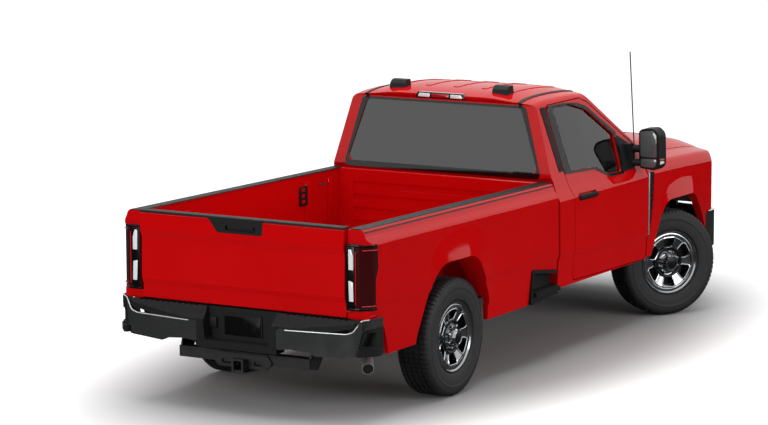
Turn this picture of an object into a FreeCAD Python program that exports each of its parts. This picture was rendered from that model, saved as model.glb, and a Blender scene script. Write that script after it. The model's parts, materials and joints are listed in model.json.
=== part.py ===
import FreeCAD
import Part
import math
import os

V = FreeCAD.Vector

# Driving dimensions in millimetres. X forward, Y left, Z up, ground at Z 0,
# X 0 halfway between the bumper faces and Y 0 on the centre line.
length = 5888.0  # over both bumpers
half_width = 1000.0  # body side at the shoulder line
wheelbase = 3597.0
front_axle_x = 1987.0
rear_axle_x = front_axle_x - wheelbase
tyre_radius = 421.0
tyre_width = 260.0
rim_radius = 253.0  # over the rim flange
bead_radius = 237.0
barrel_radius = 208.0  # inside of the rim
front_track = 1744.0
rear_track = 1700.0
kingpin_y = 830.0  # both kingpins stand upright at this distance
arm_length = 100.0  # from kingpin to tie rod end
rest_steer = -32.0  # the front wheels stand turned to the right
steering_ratio = 17.0  # turns of the steering wheel for one of the road wheels
gap = 7.0  # shut line round every opening panel
seat = 0.3  # clearance between pieces that rest on each other

# Cab
roof_z = 1972.0
cab_back_x = -72.0
cab_front_x = 1424.0
door_rear_x = 172.0
door_front_x = 1418.0
door_bottom_z = 552.0
sill_z = 524.0
frame_top_z = 680.0
floor_z = 750.0
door_thickness = 88.0
wall = 62.0
glass_thickness = 6.0
screen_slope = math.radians(31.5)
screen_radius = 2600.0
screen_point = V(1356, 0, 1634)  # on the windscreen's centre line

# Bed
bed_front_x = -98.0
bed_rear_x = -2838.0
rail_front_z = 1318.0
rail_rear_z = 1358.0
bed_inner_y = 850.0
bed_floor_z = 826.0
bed_under_z = bed_floor_z - 40
wheelhouse_y = 641.0
tailgate_half = 818.0
tailgate_bottom_z = 748.0
tailgate_top_z = 1352.0
tailgate_thickness = 78.0
tailgate_face_x = -2880.0
tailgate_hinge = V(-2835, 0, 793)
step_top_z = 738.0  # top of the rear bumper's step

# Front
hood_half = 786.0
hood_rear_x = 1826.0
nose_x = 2868.0
hood_lip_z = 1206.0
skin = 34.0  # fender wall
front_face_x = length / 2
rear_face_x = -length / 2

# Frame
rail_y = 440.0  # inner edge of each side member
rail_width = 76.0
rail_wall = 9.0
web_y = rail_y + rail_width - rail_wall  # inner face of the side member's web


# Basic shapes

def box(x0, x1, y0, y1, z0, z1):
    return Part.makeBox(x1 - x0, abs(y1 - y0), z1 - z0, V(x0, min(y0, y1), z0))


def rounded_wire(points, radius=0.0):
    """Closed outline whose corners are arcs; radius is one value or one for each corner."""
    count = len(points)
    radii = radius if isinstance(radius, (list, tuple)) else [radius] * count
    corners = []
    for i, corner in enumerate(points):
        back = V(points[i - 1] - corner).normalize()
        ahead = V(points[(i + 1) % count] - corner).normalize()
        half = back.getAngle(ahead) / 2
        if radii[i] <= 0 or half > math.pi / 2 - 1e-4:
            corners.append((corner, None, corner))
            continue
        cut = radii[i] / math.tan(half)
        middle = V(back + ahead).normalize() * (radii[i] / math.sin(half) - radii[i])
        corners.append((corner + back * cut, corner + middle, corner + ahead * cut))
    edges = []
    for i, (start, middle, end) in enumerate(corners):
        if middle is not None:
            edges.append(Part.Arc(start, middle, end).toShape())
        following = corners[(i + 1) % count][0]
        if end.distanceToPoint(following) > 1e-4:
            edges.append(Part.makeLine(end, following))
    return Part.Wire(edges)


def side_prism(points, y0, y1, radius=0.0):
    """Outline of (x, z) points carried across from y0 to y1."""
    wire = rounded_wire([V(x, y0, z) for x, z in points], radius)
    return Part.Face(wire).extrude(V(0, y1 - y0, 0))


def front_prism(points, x0, x1, radius=0.0):
    """Outline of (y, z) points carried along from x0 to x1."""
    wire = rounded_wire([V(x0, y, z) for y, z in points], radius)
    return Part.Face(wire).extrude(V(x1 - x0, 0, 0))


def plan_prism(points, z0, z1, radius=0.0):
    """Outline of (x, y) points carried up from z0 to z1."""
    wire = rounded_wire([V(x, y, z0) for x, y in points], radius)
    return Part.Face(wire).extrude(V(0, 0, z1 - z0))


def symmetric(half, radii):
    """Outline of (y, z) points and its mirror image, joined at the centre line."""
    points = half + [(-y, z) for y, z in reversed(half)]
    return points, radii + radii[::-1]


def rod(start, end, radius):
    return Part.makeCylinder(radius, start.distanceToPoint(end), start, end - start)


def turned(profile, centre, direction=V(0, 1, 0)):
    """Solid of revolution from (distance along the axis, radius) points."""
    points = [V(0, along, away) for along, away in profile]
    face = Part.Face(Part.makePolygon(points + points[:1]))
    solid = face.revolve(V(0, 0, 0), V(0, 1, 0), 360)
    solid.Placement = FreeCAD.Placement(centre, FreeCAD.Rotation(V(0, 1, 0), direction))
    return solid


def pipe(points, radius, bend):
    """Round bar along a route with bends of one radius."""
    corners = [V(*p) for p in points]
    edges = []
    start = corners[0]
    for i in range(1, len(corners) - 1):
        corner = corners[i]
        back = V(corners[i - 1] - corner).normalize()
        ahead = V(corners[i + 1] - corner).normalize()
        half = back.getAngle(ahead) / 2
        cut = bend / math.tan(half)
        middle = V(back + ahead).normalize() * (bend / math.sin(half) - bend)
        edges.append(Part.makeLine(start, corner + back * cut))
        edges.append(Part.Arc(corner + back * cut, corner + middle, corner + ahead * cut).toShape())
        start = corner + ahead * cut
    edges.append(Part.makeLine(start, corners[-1]))
    circle = Part.makeCircle(radius, corners[0], corners[1] - corners[0])
    return Part.Wire(edges).makePipeShell([Part.Wire([circle])], True, True)


def mirrored(shape):
    return shape.mirror(V(0, 0, 0), V(0, 1, 0))


def pair(shape):
    return [shape, mirrored(shape)]


def softened(shape, edges, radius):
    """Rounds the edges when the form allows it, else leaves them sharp."""
    if not edges:
        return shape
    try:
        result = shape.makeFillet(radius, edges)
        return result if result.isValid() and result.Volume > 0 else shape
    except Exception:
        return shape


def lengthwise(shape):
    return [e for e in shape.Edges if abs(e.tangentAt(e.FirstParameter).x) > 0.99]


def save(name, *shapes):
    solids = []
    for shape in shapes:
        for part in (shape if isinstance(shape, list) else [shape]):
            solids += [s for s in part.Solids if s.Volume > 500]
    whole = solids[0] if len(solids) == 1 else Part.makeCompound(solids)
    whole.exportStep("parts/" + name + ".step")


# Body forms

def rail_z(x):
    """Height of the bed rail, which climbs towards the rear."""
    share = (x - bed_front_x) / (bed_rear_x - bed_front_x)
    return rail_front_z + share * (rail_rear_z - rail_front_z)


def crease_z(x):
    """Height of the low crease along the doors and the bed."""
    return 778 - 0.031 * (x - bed_front_x)


def lower_side(x, inset):
    """Side of the body from the sill up to the shoulder, as (y, z) points."""
    c = crease_z(x)
    w = half_width - inset
    return [(w - 26, 470), (w - 20, 560), (w - 12, c - 44), (w + 3, c)], [0, 80, 60, 14]


forms = {}


def cab_section(x, crown_z, edge_z, inset):
    """Closed cross-section of the cab at station x."""
    i = inset
    side, side_radii = lower_side(x, i)
    half = side + [
        (half_width - i, 1176), (half_width - 40 - i, 1256), (half_width - 62 - i, 1338),
        (782 - i, edge_z - i), (430, crown_z - 20 - i),
    ]
    points, radii = symmetric(half, side_radii + [60, 60, 200, 64, 1300])
    return rounded_wire([V(x, y, z) for y, z in points], radii)


def cab_form(inset):
    """Cab as one solid, moved in by the inset on the sides, roof, windscreen and rear wall."""
    if ("cab", inset) not in forms:
        forms["cab", inset] = make_cab_form(inset)
    return forms["cab", inset]


def make_cab_form(inset):
    stations = [
        (-100, roof_z - 42, 1862), (40, roof_z - 14, 1884), (260, roof_z, 1892), (620, roof_z - 14, 1884),
        (1000, roof_z - 68, 1842), (1500, roof_z - 150, 1742), (1900, roof_z - 250, 1642),
    ]
    body = Part.makeLoft([cab_section(x, crown, edge, inset) for x, crown, edge in stations], True, False)
    radius = screen_radius - inset
    axis = V(math.cos(screen_slope), 0, -math.sin(screen_slope))
    normal = V(math.sin(screen_slope), 0, math.cos(screen_slope))
    start = screen_point - normal * screen_radius - axis * 3000
    profile = [
        (cab_back_x + inset, 300), (cab_back_x + inset, 1316), (-88 + inset, 1346), (-46 + inset, 1872),
        (-84 + inset, 1900), (-84 + inset, 2200), (1900, 2200), (1900, 1292),
        (1560 - inset, 1270), (cab_front_x - inset, 1180), (cab_front_x - inset, 300),
    ]
    return body.common(Part.makeCylinder(radius, 6000, start, axis)).common(
        side_prism(profile, -1200, 1200))


def nose_section(x, crown_z, edge_z, shoulder_z, taper, inset):
    i = inset
    w = half_width - taper - i
    half = [
        (w - 26, 430), (w - 8, 690), (w, 800), (w, shoulder_z - 70), (w - 46, shoulder_z - i * 0.6),
        (hood_half + 30, edge_z - i), (610, crown_z - 22 - i), (330, crown_z - i),
    ]
    points, radii = symmetric(half, [0, 200, 300, 90, 60, 60, 160, 300])
    return rounded_wire([V(x, y, z) for y, z in points], radii)


def nose_form(inset):
    """Front end from the doors to the grille as one solid."""
    if ("nose", inset) not in forms:
        forms["nose", inset] = make_nose_form(inset)
    return forms["nose", inset]


def make_nose_form(inset):
    stations = [
        (door_front_x + gap, 1384, 1296, 1266, 0), (1700, 1382, 1292, 1262, 0),
        (2100, 1378, 1278, 1250, 0), (2450, 1354, 1258, 1236, 4),
        (2700, 1316, 1232, 1216, 16), (2900, 1256, 1184, 1176, 40),
    ]
    body = Part.makeLoft([nose_section(x, c, e, s, t, inset) for x, c, e, s, t in stations], True, False)
    i = inset
    plan = [
        (door_front_x, -1100), (2522, -1100), (2690 - i, -900), (nose_x - i, -560), (nose_x + 22 - i, 0),
        (nose_x - i, 560), (2690 - i, 900), (2522, 1100), (door_front_x, 1100),
    ]
    return body.common(plan_prism(plan, 400, 1600, [0, 300, 160, 300, 900, 300, 160, 300, 0]))


def door_outline(grow):
    """Door outline seen from the side, grown by the shut line for its opening."""
    g = grow
    return [
        (door_rear_x - g, door_bottom_z - g), (door_rear_x - g, 1196), (door_rear_x - 50 - g, 1360),
        (door_rear_x - 101 - g, 1856 + g), (640, 1856 + g), (760 + g, 1806 + g), (1286 + g, 1462 + g),
        (door_front_x + g, 1372), (door_front_x + g, door_bottom_z - 22 - g),
    ]


door_radii = [45, 160, 300, 60, 120, 120, 60, 20, 45]


def window_outline(grow):
    """Side window outline with its lower front part; the mirror's sail plate stands ahead of it."""
    g = grow
    return [
        (222 - g, 1366 - g), (176 - g, 1834 + g), (480, 1826 + g), (700 + g, 1768 + g), (1052 + g, 1540 + g),
        (1024 + g, 1262 - g), (826, 1270 - g), (622, 1346 - g),
    ]


window_radii = [30, 45, 260, 160, 25, 25, 80, 80]


def front_arch(y0, y1, grow=0.0):
    """Front wheel arch as a solid that cuts it, grown outwards for the liner."""
    g = grow
    x = front_axle_x
    z = tyre_radius
    points = [
        (x - 497 - g, 300), (x - 493 - g, z + 71), (x - 279 - g, z + 528 + g), (x + 223 + g, z + 528 + g),
        (x + 487 + g, z + 216), (x + 499 + g, 300),
    ]
    return side_prism(points, y0, y1, [0, 150, 190, 150, 100, 0])


def rear_arch(y0, y1, grow=0.0):
    g = grow
    x = rear_axle_x
    z = tyre_radius
    points = [
        (x - 573 - g, 300), (x - 569 - g, z + 91), (x - 313 - g, z + 567 + g), (x + 217 + g, z + 567 + g),
        (x + 455 + g, z + 211), (x + 467 + g, 300),
    ]
    return side_prism(points, y0, y1, [0, 260, 240, 240, 200, 0])


# Chassis

def frame_rails():
    """Side members as channels open to the inside, arched over both axles."""
    rear_top = bed_under_z - seat
    outline = [
        (-2740, 640), (-2050, 640), (-1900, 660), (-1380, 660), (-1160, 500), (1480, 500), (1660, 640), (2240, 640),
        (2420, 560), (2640, 560), (2640, 720), (2420, 740), (2240, 790), (1640, 790), (1500, frame_top_z),
        (-1080, frame_top_z), (-1300, rear_top), (-2740, rear_top),
    ]
    bends = [0, 60, 60, 60, 60, 60, 60, 60, 60, 0, 0, 60, 60, 60, 60, 60, 60, 0]
    rail = side_prism(outline, rail_y, rail_y + rail_width, bends)
    wire = rounded_wire([V(x, rail_y - 1, z) for x, z in outline], bends)
    hollow = Part.Face(wire).makeOffset2D(-rail_wall)
    rail = rail.cut(hollow.extrude(V(0, web_y - rail_y + 1, 0)))
    outer = rail_y + rail_width
    tower = box(front_axle_x - 72, front_axle_x + 72, outer, 652, 770, 790)
    shock_ear = box(front_axle_x - 130, front_axle_x - 74, outer, 612, 770, 790)
    clevis = []
    for y in (rail_y, outer - 8):
        clevis.append(side_prism([(1110, 385), (1100, 501), (1200, 501), (1190, 385)], y, y + 8, 12))
    pin = rod(V(1150, rail_y, tyre_radius), V(1150, outer, tyre_radius), 10)
    rail = rail.fuse([tower, shock_ear, pin] + clevis).removeSplitter()
    return pair(rail)


def beam(x0, x1, end_z0, end_z1, mid_z0, mid_z1):
    """Crossmember between the side members' webs, dropped or raised in the middle."""
    reach = web_y - seat
    half = [(0, mid_z0), (250, mid_z0), (420, end_z0), (reach, end_z0), (reach, end_z1), (390, end_z1),
            (220, mid_z1), (0, mid_z1)]
    points = half[1:7] + [(-y, z) for y, z in reversed(half[1:7])]
    piece = front_prism(points, x0, x1, 0)
    inner = [(y, z + 8 if k < 3 else z - 8) for k, (y, z) in enumerate(half[1:7])]
    points = inner + [(-y, z) for y, z in reversed(inner)]
    return piece.cut(front_prism(points, x0 + 8, x1 + 1, 0))


def crossmembers():
    """Pressed beams of the frame; the one over the spare wheel carries its hanger."""
    hanger = box(-2370, -2270, -web_y + seat, web_y - seat, 724, 764)
    stem = Part.makeCylinder(22, 724 - 550.3, V(spare_centre.x, 0, 550.3))
    return [
        beam(2500, 2600, 590, 690, 590, 690), beam(2180, 2250, 664, 764, 540, 610), beam(800, 880, 520, 630, 380, 430),
        beam(185, 275, 600, 670, 600, 670), beam(-900, -820, 590, 670, 590, 670), beam(-1560, -1480, 680, 764, 680, 764),
        hanger.fuse(stem), beam(-2690, -2640, 722, 764, 722, 764),
    ]


def powertrain():
    """Engine with its mounts, gearbox and transfer case as one closed block."""
    engine = plan_prism([(1510, -290), (1510, 290), (2400, 250), (2400, -250)], 660, 1130, 40)
    sump = box(1560, 1800, -160, 160, 560, 680)
    gearbox = front_prism([(-170, 440.3), (170, 440.3), (170, 600), (120, 670), (-120, 670), (-170, 600)], 650, 1520, 30)
    transfer = side_prism([(350, 450), (350, 640), (712, 664), (712, 440.3)], -150, 275, 40)
    mounts = box(1900, 1980, -web_y + seat, web_y - seat, 690, 740)
    return engine.fuse([sump, gearbox, transfer, mounts]).removeSplitter()


def driveshafts():
    """Each shaft runs between two flanges, from the transfer case to an axle."""
    runs = [
        (V(350 - seat, 0, 535), V(rear_axle_x + 190 + seat, 0, tyre_radius), 46, -1),
        (V(712 + seat, 222, 540), V(front_axle_x - 150 - seat, 300, tyre_radius), 34, 1),
    ]
    pieces = []
    for start, end, radius, sense in runs:
        near = rod(start, start + V(20 * sense, 0, 0), radius + 14)
        far = rod(end, end - V(20 * sense, 0, 0), radius + 14)
        tube = rod(start + V(12 * sense, 0, 0), end - V(12 * sense, 0, 0), radius)
        pieces.append(tube.fuse([near, far]).removeSplitter())
    return pieces


def exhaust():
    """Pipe from the engine, silencer, and tailpipe over the axle to the right rear corner."""
    lead = pipe([(1560, -328.3, 730), (1430, -330, 634), (620, -330, 634), (180, -330, 480)], 38, 120)
    silencer = box(-520, 220, -430, -230, 410, 600 - seat)
    silencer = softened(silencer, lengthwise(silencer), 80)
    route = [
        (-500, -330, 530), (-1180, -330, 500), (-1400, -340, 590), (-1860, -340, 590), (-2150, -560, 430),
        (-2534, -800, 342),
    ]
    tail = pipe(route, 38, 90)
    return lead.fuse([silencer, tail]).removeSplitter()


def fuel_tank():
    tank = box(-760, 185 - seat, 70, 400, 440, 640)
    return softened(tank, lengthwise(tank), 40)


def tyre_profile():
    """Half width along the axle and radius of the tyre's section, with its circular grooves."""
    w = tyre_width / 2
    r = tyre_radius
    flange = 103.7
    side = [
        (flange, bead_radius + seat), (flange, rim_radius + seat), (w - 20, rim_radius + 8), (w - 4, rim_radius + 40),
        (w, rim_radius + 78), (w - 6, r - 40), (w - 18, r - 10), (w - 32, r - 2),
    ]
    grooves = []
    for along in (-64, -22, 22, 64):
        grooves += [(along - 7, r), (along - 5, r - 9), (along + 5, r - 9), (along + 7, r)]
    return [(-a, away) for a, away in side] + grooves + side[::-1]


def tyre(centre):
    return turned(tyre_profile(), centre)


def rim(centre, side):
    """Wheel with six spokes and eight stud bosses; side is 1 on the left and -1 on the right."""
    r = rim_radius
    well = barrel_radius + 10
    barrel = [
        (-112, r - 18), (-112, r), (-104, r), (-104, bead_radius), (-70, bead_radius), (-52, well), (52, well),
        (70, bead_radius), (104, bead_radius), (104, r), (112, r), (112, r - 10), (98, r - 26), (60, barrel_radius),
        (-90, barrel_radius),
    ]
    dish = [(30, 0), (30, 88), (54, 116), (60, well - 6), (92, well), (100, well - 20), (78, 114), (74, 98),
            (88, 92), (88, 66), (128, 60), (142, 50), (142, 0)]
    wheel = turned(barrel, V(0, 0, 0)).fuse(turned(dish, V(0, 0, 0)))
    window = rounded_wire([V(-36, 0, 120), V(36, 0, 120), V(70, 0, 198), V(-70, 0, 198)], [18, 18, 26, 26])
    cutter = Part.Face(window).extrude(V(0, 200, 0))
    bosses = []
    for k in range(6):
        opening = cutter.copy()
        opening.rotate(V(0, 0, 0), V(0, 1, 0), 60 * k)
        wheel = wheel.cut(opening)
    for k in range(8):
        angle = math.radians(45 * k + 22.5)
        foot = V(80 * math.sin(angle), 60, 80 * math.cos(angle))
        bosses.append(rod(foot, foot + V(0, 44, 0), 11))
    wheel = wheel.fuse(bosses).removeSplitter()
    if side < 0:
        wheel = mirrored(wheel)
    wheel.translate(centre)
    return wheel


def steered(shape, side):
    """Turns a piece about its kingpin to the angle at which the truck stands."""
    result = shape.copy()
    result.rotate(V(front_axle_x, side * kingpin_y, 0), V(0, 0, 1), rest_steer)
    return result


def knuckle(side):
    """Upright between the ball joints, with its hub, brake disc, caliper and steering arm."""
    x = front_axle_x
    z = tyre_radius
    hub_reach = front_track / 2 - kingpin_y + 30 - seat
    post = Part.makeCylinder(34, 260 - 2 * seat, V(x, kingpin_y, z - 130 + seat))
    hub = rod(V(x, kingpin_y, z), V(x, kingpin_y + hub_reach, z), 62)
    disc = rod(V(x, kingpin_y + 34, z), V(x, kingpin_y + 58, z), 160)
    caliper = box(x - 178, x - 104, kingpin_y + 16, kingpin_y + 66, z - 60, z + 60)
    link = box(x - 120, x, kingpin_y + 8, kingpin_y + 48, z - 30, z + 30)
    arm = box(x, x + arm_length, kingpin_y - 16, kingpin_y + 16, z - 82, z - 44)
    eye = Part.makeCylinder(24, 38, V(x + arm_length, kingpin_y, z - 82))
    piece = post.fuse([hub, disc, caliper, link, arm, eye]).removeSplitter()
    return steered(piece if side > 0 else mirrored(piece), side)


def tie_rod():
    """Bar between the two steering arms."""
    angle = math.radians(rest_steer)
    x = front_axle_x + arm_length * math.cos(angle)
    shift = arm_length * math.sin(angle)
    z = tyre_radius - 100
    bar = rod(V(x, kingpin_y + shift, z), V(x, -kingpin_y + shift, z), 15)
    for side in (1, -1):
        end = Part.makeCylinder(22, 34 - seat, V(x, side * kingpin_y + shift, z - 16))
        bar = bar.fuse(end)
    return bar.removeSplitter()


def front_axle():
    """Tube with its differential, ball joint yokes, and seats for coils, shocks and arms."""
    x = front_axle_x
    z = tyre_radius
    inner = kingpin_y - 62
    tube = rod(V(x, -inner, z), V(x, inner, z), 44)
    ball = Part.makeSphere(96, V(x, 300, z))
    nose = rod(V(x, 300, z), V(x - 150, 300, z), 60)
    parts = [ball, nose]
    arm_y = rail_y + rail_width / 2
    for side in (1, -1):
        yoke = box(x - 36, x + 36, side * inner, side * (inner - 26), z - 158, z + 158)
        for height in (-158, 130):
            yoke = yoke.fuse(box(x - 36, x + 36, side * inner, side * kingpin_y, z + height, z + height + 28))
            yoke = yoke.fuse(Part.makeCylinder(32, 28, V(x, side * kingpin_y, z + height)))
        parts.append(yoke)
        parts.append(box(x - 64, x + 64, side * 542, side * 642, z, z + 60))
        parts.append(box(x - 130, x - 40, side * 566, side * 618, z - 20, z + 10))
        parts.append(box(x - 74, x - 30, side * (arm_y - 30), side * (arm_y + 30), z - 40, z + 40))
    return tube.fuse(parts).removeSplitter()


def rear_axle():
    """Tube with its differential, brake discs, and seats for the leaf packs and shocks."""
    x = rear_axle_x
    z = tyre_radius
    hub = rear_track / 2 + 30 - seat
    tube = rod(V(x, -735, z), V(x, 735, z), 50)
    ball = Part.makeSphere(180, V(x, 0, z))
    cover = rod(V(x, 0, z), V(x - 190, 0, z), 110)
    nose = rod(V(x, 0, z), V(x + 190, 0, z), 70)
    parts = [ball, cover, nose]
    shock_y = rail_y + rail_width / 2
    for side in (1, -1):
        parts.append(rod(V(x, side * 770, z), V(x, side * 796, z), 176))
        parts.append(rod(V(x, side * 730, z), V(x, side * hub, z), 60))
        parts.append(box(x - 70, x + 70, side * 558, side * 634, z + 20, 512 - seat))
        parts.append(box(x - 130, x - 30, side * (shock_y - 30), side * (shock_y + 30), z - 20, z + 10))
    return tube.fuse(parts).removeSplitter()


def coil(centre, base_z, top_z):
    """Coil spring as a bellows-like sleeve with one ridge for each turn."""
    turns = 7
    pitch = (top_z - base_z) / turns
    outline = [(0, 34)]
    for k in range(turns):
        outline += [(k * pitch + 2, 48), (k * pitch + pitch / 2, 58), (k * pitch + pitch - 2, 48)]
    outline += [(top_z - base_z, 34)]
    return turned(outline, V(centre.x, centre.y, base_z), V(0, 0, 1))


def suspension():
    """Leaf packs behind, coils and radius arms in front, and a shock absorber at each wheel."""
    pieces = []
    x = rear_axle_x
    outer = rail_y + rail_width
    arm_y = rail_y + rail_width / 2
    for side in (1, -1):
        y = side * 596
        leaf = side_prism([
            (x - 700, 640), (x - 350, 548), (x - 80, 512), (x + 80, 512), (x + 350, 540), (x + 700, 600),
            (x + 700, 616), (x + 350, 568), (x + 60, 560), (x - 60, 560), (x - 350, 576), (x - 700, 656),
        ], y - 38, y + 38, [0, 300, 300, 300, 300, 0, 0, 300, 300, 300, 300, 0])
        front_hanger = box(x + 660, x + 720, side * (outer + seat), side * 634, 616 + seat, frame_top_z - 10)
        shackle = box(x - 722, x - 678, side * (outer + seat), side * 634, 656 + seat, 740)
        pieces += [leaf, front_hanger, shackle]
        pieces.append(coil(V(front_axle_x, side * 592, 0), tyre_radius + 60 + seat, 770 - seat))
        arm = rod(V(1178, side * arm_y, tyre_radius), V(front_axle_x - 74 - seat, side * arm_y, tyre_radius), 24)
        eye = rod(V(1150, side * (rail_y + 8.3), tyre_radius), V(1150, side * (outer - 8.3), tyre_radius), 32)
        hole = rod(V(1150, side * rail_y, tyre_radius), V(1150, side * outer, tyre_radius), 10.3)
        pieces.append(arm.fuse(eye).cut(hole))
        top = V(front_axle_x - 102, side * 590, 770 - seat)
        pieces.append(rod(V(top.x, top.y, tyre_radius + 10 + seat), top, 22))
        foot = V(x - 98, side * arm_y, tyre_radius + 10 + seat)
        pieces.append(rod(foot, V(foot.x, foot.y, 660 - seat), 26))
    return pieces


def hitch():
    """Receiver on its cross tube, held under the side members by two plates."""
    outer = rail_y + rail_width
    tube = box(-2850, -2774, -outer - 10, outer + 10, 360, 436).cut(box(-2843, -2781, -600, 600, 367, 429))
    socket = box(-2930, -2700, -38, 38, 318, 394)
    collar = box(-2934, -2906, -46, 46, 310, 402)
    half = [(60, 330), (190, 330), (240, 380), (200, 430), (60, 430)]
    points, radii = symmetric(half, [0, 20, 20, 20, 0])
    plate = front_prism(points, -2866, -2850, radii)
    for side in (1, -1):
        slot = [(side * 90, 352), (side * 90, 384), (side * 170, 384), (side * 170, 352)]
        plate = plate.cut(front_prism(slot, -2900, -2840, 15.5))
    piece = tube.fuse([socket, collar, plate])
    for side in (1, -1):
        ear = side_prism([(-2852, 372), (-2740, 340), (-2560, 560), (-2560, 720), (-2735, 720)],
                         side * (outer + seat), side * (outer + 12), 20)
        piece = piece.fuse(ear)
    piece = piece.cut(box(-2940, -2690, -31.9, 31.9, 324.1, 387.9))
    return piece.cut(rod(V(-2880, -60, 356), V(-2880, 60, 356), 8)).removeSplitter()


# Bumpers

def rear_plan(inset):
    """Plan of the rear bumper's face with its swept ends."""
    i = inset
    f = rear_face_x
    half = [(-2700, 1020 - i), (-2830, 1020 - i), (f + 52 + i, 900 - i * 0.6), (f + i, 420)]
    points = half + [(x, -y) for x, y in reversed(half)]
    return points, [0, 60, 110, 300, 300, 110, 60, 0]


def rear_bumper():
    """Bright pressed ends, swept up at the corners, on two brackets from the frame."""
    points, radii = rear_plan(0)
    block = plan_prism(points, 440, 780, radii)
    points, radii = rear_plan(12)
    shell = block.cut(plan_prism([(x + 60 if x > -2750 else x, y) for x, y in points], 400, 800, radii))
    face = [
        (322, 500), (322, 646), (840, 650), (900, 664), (946, 744), (1040, 756), (1040, 690), (958, 676),
        (912, 492), (620, 476), (560, 500), (430, 512),
    ]
    radii = [10, 20, 80, 60, 50, 0, 0, 40, 30, 30, 20, 20]
    pieces = []
    for side in (1, -1):
        half = front_prism([(side * y, z) for y, z in face], -3000, -2600, radii)
        end = shell.common(half)
        arm = box(-2936, -2740 - seat, side * (rail_y + 12), side * (rail_y + 64), 560, 640)
        pieces.append(end.fuse(arm.common(block)).removeSplitter())
    return pieces


def rear_bumper_pads():
    """Dark step across the top, the plate recess in the middle and the step at each corner."""
    f = rear_face_x
    over = [(f - 10, 300), (f - 10, 656), (f + 14, 656), (f + 56, 702), (f + 78, step_top_z), (-2676, step_top_z),
            (-2676, 300)]
    limit = side_prism(over, -1200, 1200, [0, 0, 0, 14, 10, 0, 0])
    outer = [(-321.7, 464), (-321.7, 760), (321.7, 760), (321.7, 464)]
    middle = front_prism(outer, f + 2, -2836, 10)
    middle = middle.cut(front_prism([(-256, 516), (-290, 800), (290, 800), (256, 516)], f - 10, -2852, 24))
    plate = front_prism([(-156, 536), (-156, 700), (156, 700), (156, 536)], -2860, -2851, 12)
    middle = middle.fuse(plate.cut(front_prism([(-146, 546), (-146, 690), (146, 690), (146, 546)], -2870, -2857, 8)))
    pieces = [middle.common(limit).removeSplitter()]
    points, radii = rear_plan(12.3)
    inside = plan_prism(points, 440, 780, radii)
    for side in (1, -1):
        cover = box(f, -2741, side * 322, side * 905, 640, 780).common(limit).common(inside)
        cover = cover.cut(side_prism([(f + 40, 600), (f + 40, 640), (-2866, 712), (-2600, 712), (-2600, 600)], -1200, 1200))
        grooves = [box(f + 60, -2741, side * y - 7, side * y + 7, step_top_z - 6, 800) for y in range(370, 880, 46)]
        corner = plan_prism(rear_plan(0)[0], 500, 686, rear_plan(0)[1])
        corner = corner.common(box(f, -2700, side * 912, side * 1100, 400, 686))
        keep = front_prism([(side * 915, 500), (side * 963, 670), (side * 1040, 686), (side * 1040, 500)], f, -2700)
        corner = corner.common(keep)
        pocket = front_prism([(side * 952, 566), (side * 984, 660), (side * 1100, 664), (side * 1100, 566)], f, -2790, 0)
        tread = plan_prism([(-2930, side * 930), (-2800, side * 1040), (-2740, side * 1040), (-2740, side * 960),
                            (-2860, side * 915)], 500, 548, [20, 30, 20, 0, 0]).common(keep)
        pieces += [cover.cut(grooves), corner.cut(pocket).fuse(tread).removeSplitter()]
    return pieces


def front_bumper():
    """Bright front bumper with its lower air opening, on two brackets from the frame."""
    f = front_face_x
    half = [(2520, 985), (2700, 985), (2852, 860), (f, 420)]
    block = plan_prism(half + [(x, -y) for x, y in reversed(half)], 452, 742, [0, 120, 200, 300, 300, 200, 120, 0])
    half = [(2400, 957), (2692, 957), (2826, 842), (f - 26, 412)]
    shell = block.cut(plan_prism(half + [(x, -y) for x, y in reversed(half)], 400, 800,
                                 [0, 110, 190, 290, 290, 190, 110, 0]))
    shell = shell.cut(front_prism([(-420, 500), (-470, 600), (470, 600), (420, 500)], 2700, 3000, 20))
    shell = shell.cut(side_prism([(2400, 400), (2400, 520), (2560, 520), (2640, 452), (2640, 400)], -1100, 1100))
    arms = []
    for side in (1, -1):
        arms.append(box(2640 + seat, 2912, side * (rail_y + 12), side * (rail_y + 64), 606, 690))
    return shell.fuse(arms).removeSplitter()


def grille():
    """Frame, cross bars and uprights in the opening between the headlamps."""
    x0 = nose_x - 60
    x1 = nose_x + 10
    outer = front_prism([(-596, 770), (-596, 1186), (596, 1186), (596, 770)], x0, x1, 50)
    piece = outer.cut(front_prism([(-548, 812), (-548, 1144), (548, 1144), (548, 812)], x0 - 1, x1 + 1, 34))
    bars = [box(x0 + 6, x1 - 6, -552, 552, z - 20, z + 20) for z in (900, 1010, 1100)]
    uprights = [box(x0, x0 + 8, k * 70 - 5, k * 70 + 5, 806, 1150) for k in range(-7, 8)]
    return piece.fuse(bars + uprights).removeSplitter()


lamp_window = [(602, 796), (602, 1154), (909, 1154), (909, 796)]


def headlamps():
    c = 0.3
    outline = [(602 + c, 796 + c), (602 + c, 1154 - c), (909 - c, 1154 - c), (909 - c, 796 + c)]
    return pair(front_prism(outline, 2640, 3000, 40).common(nose_form(0)))


# Cab pieces

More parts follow.
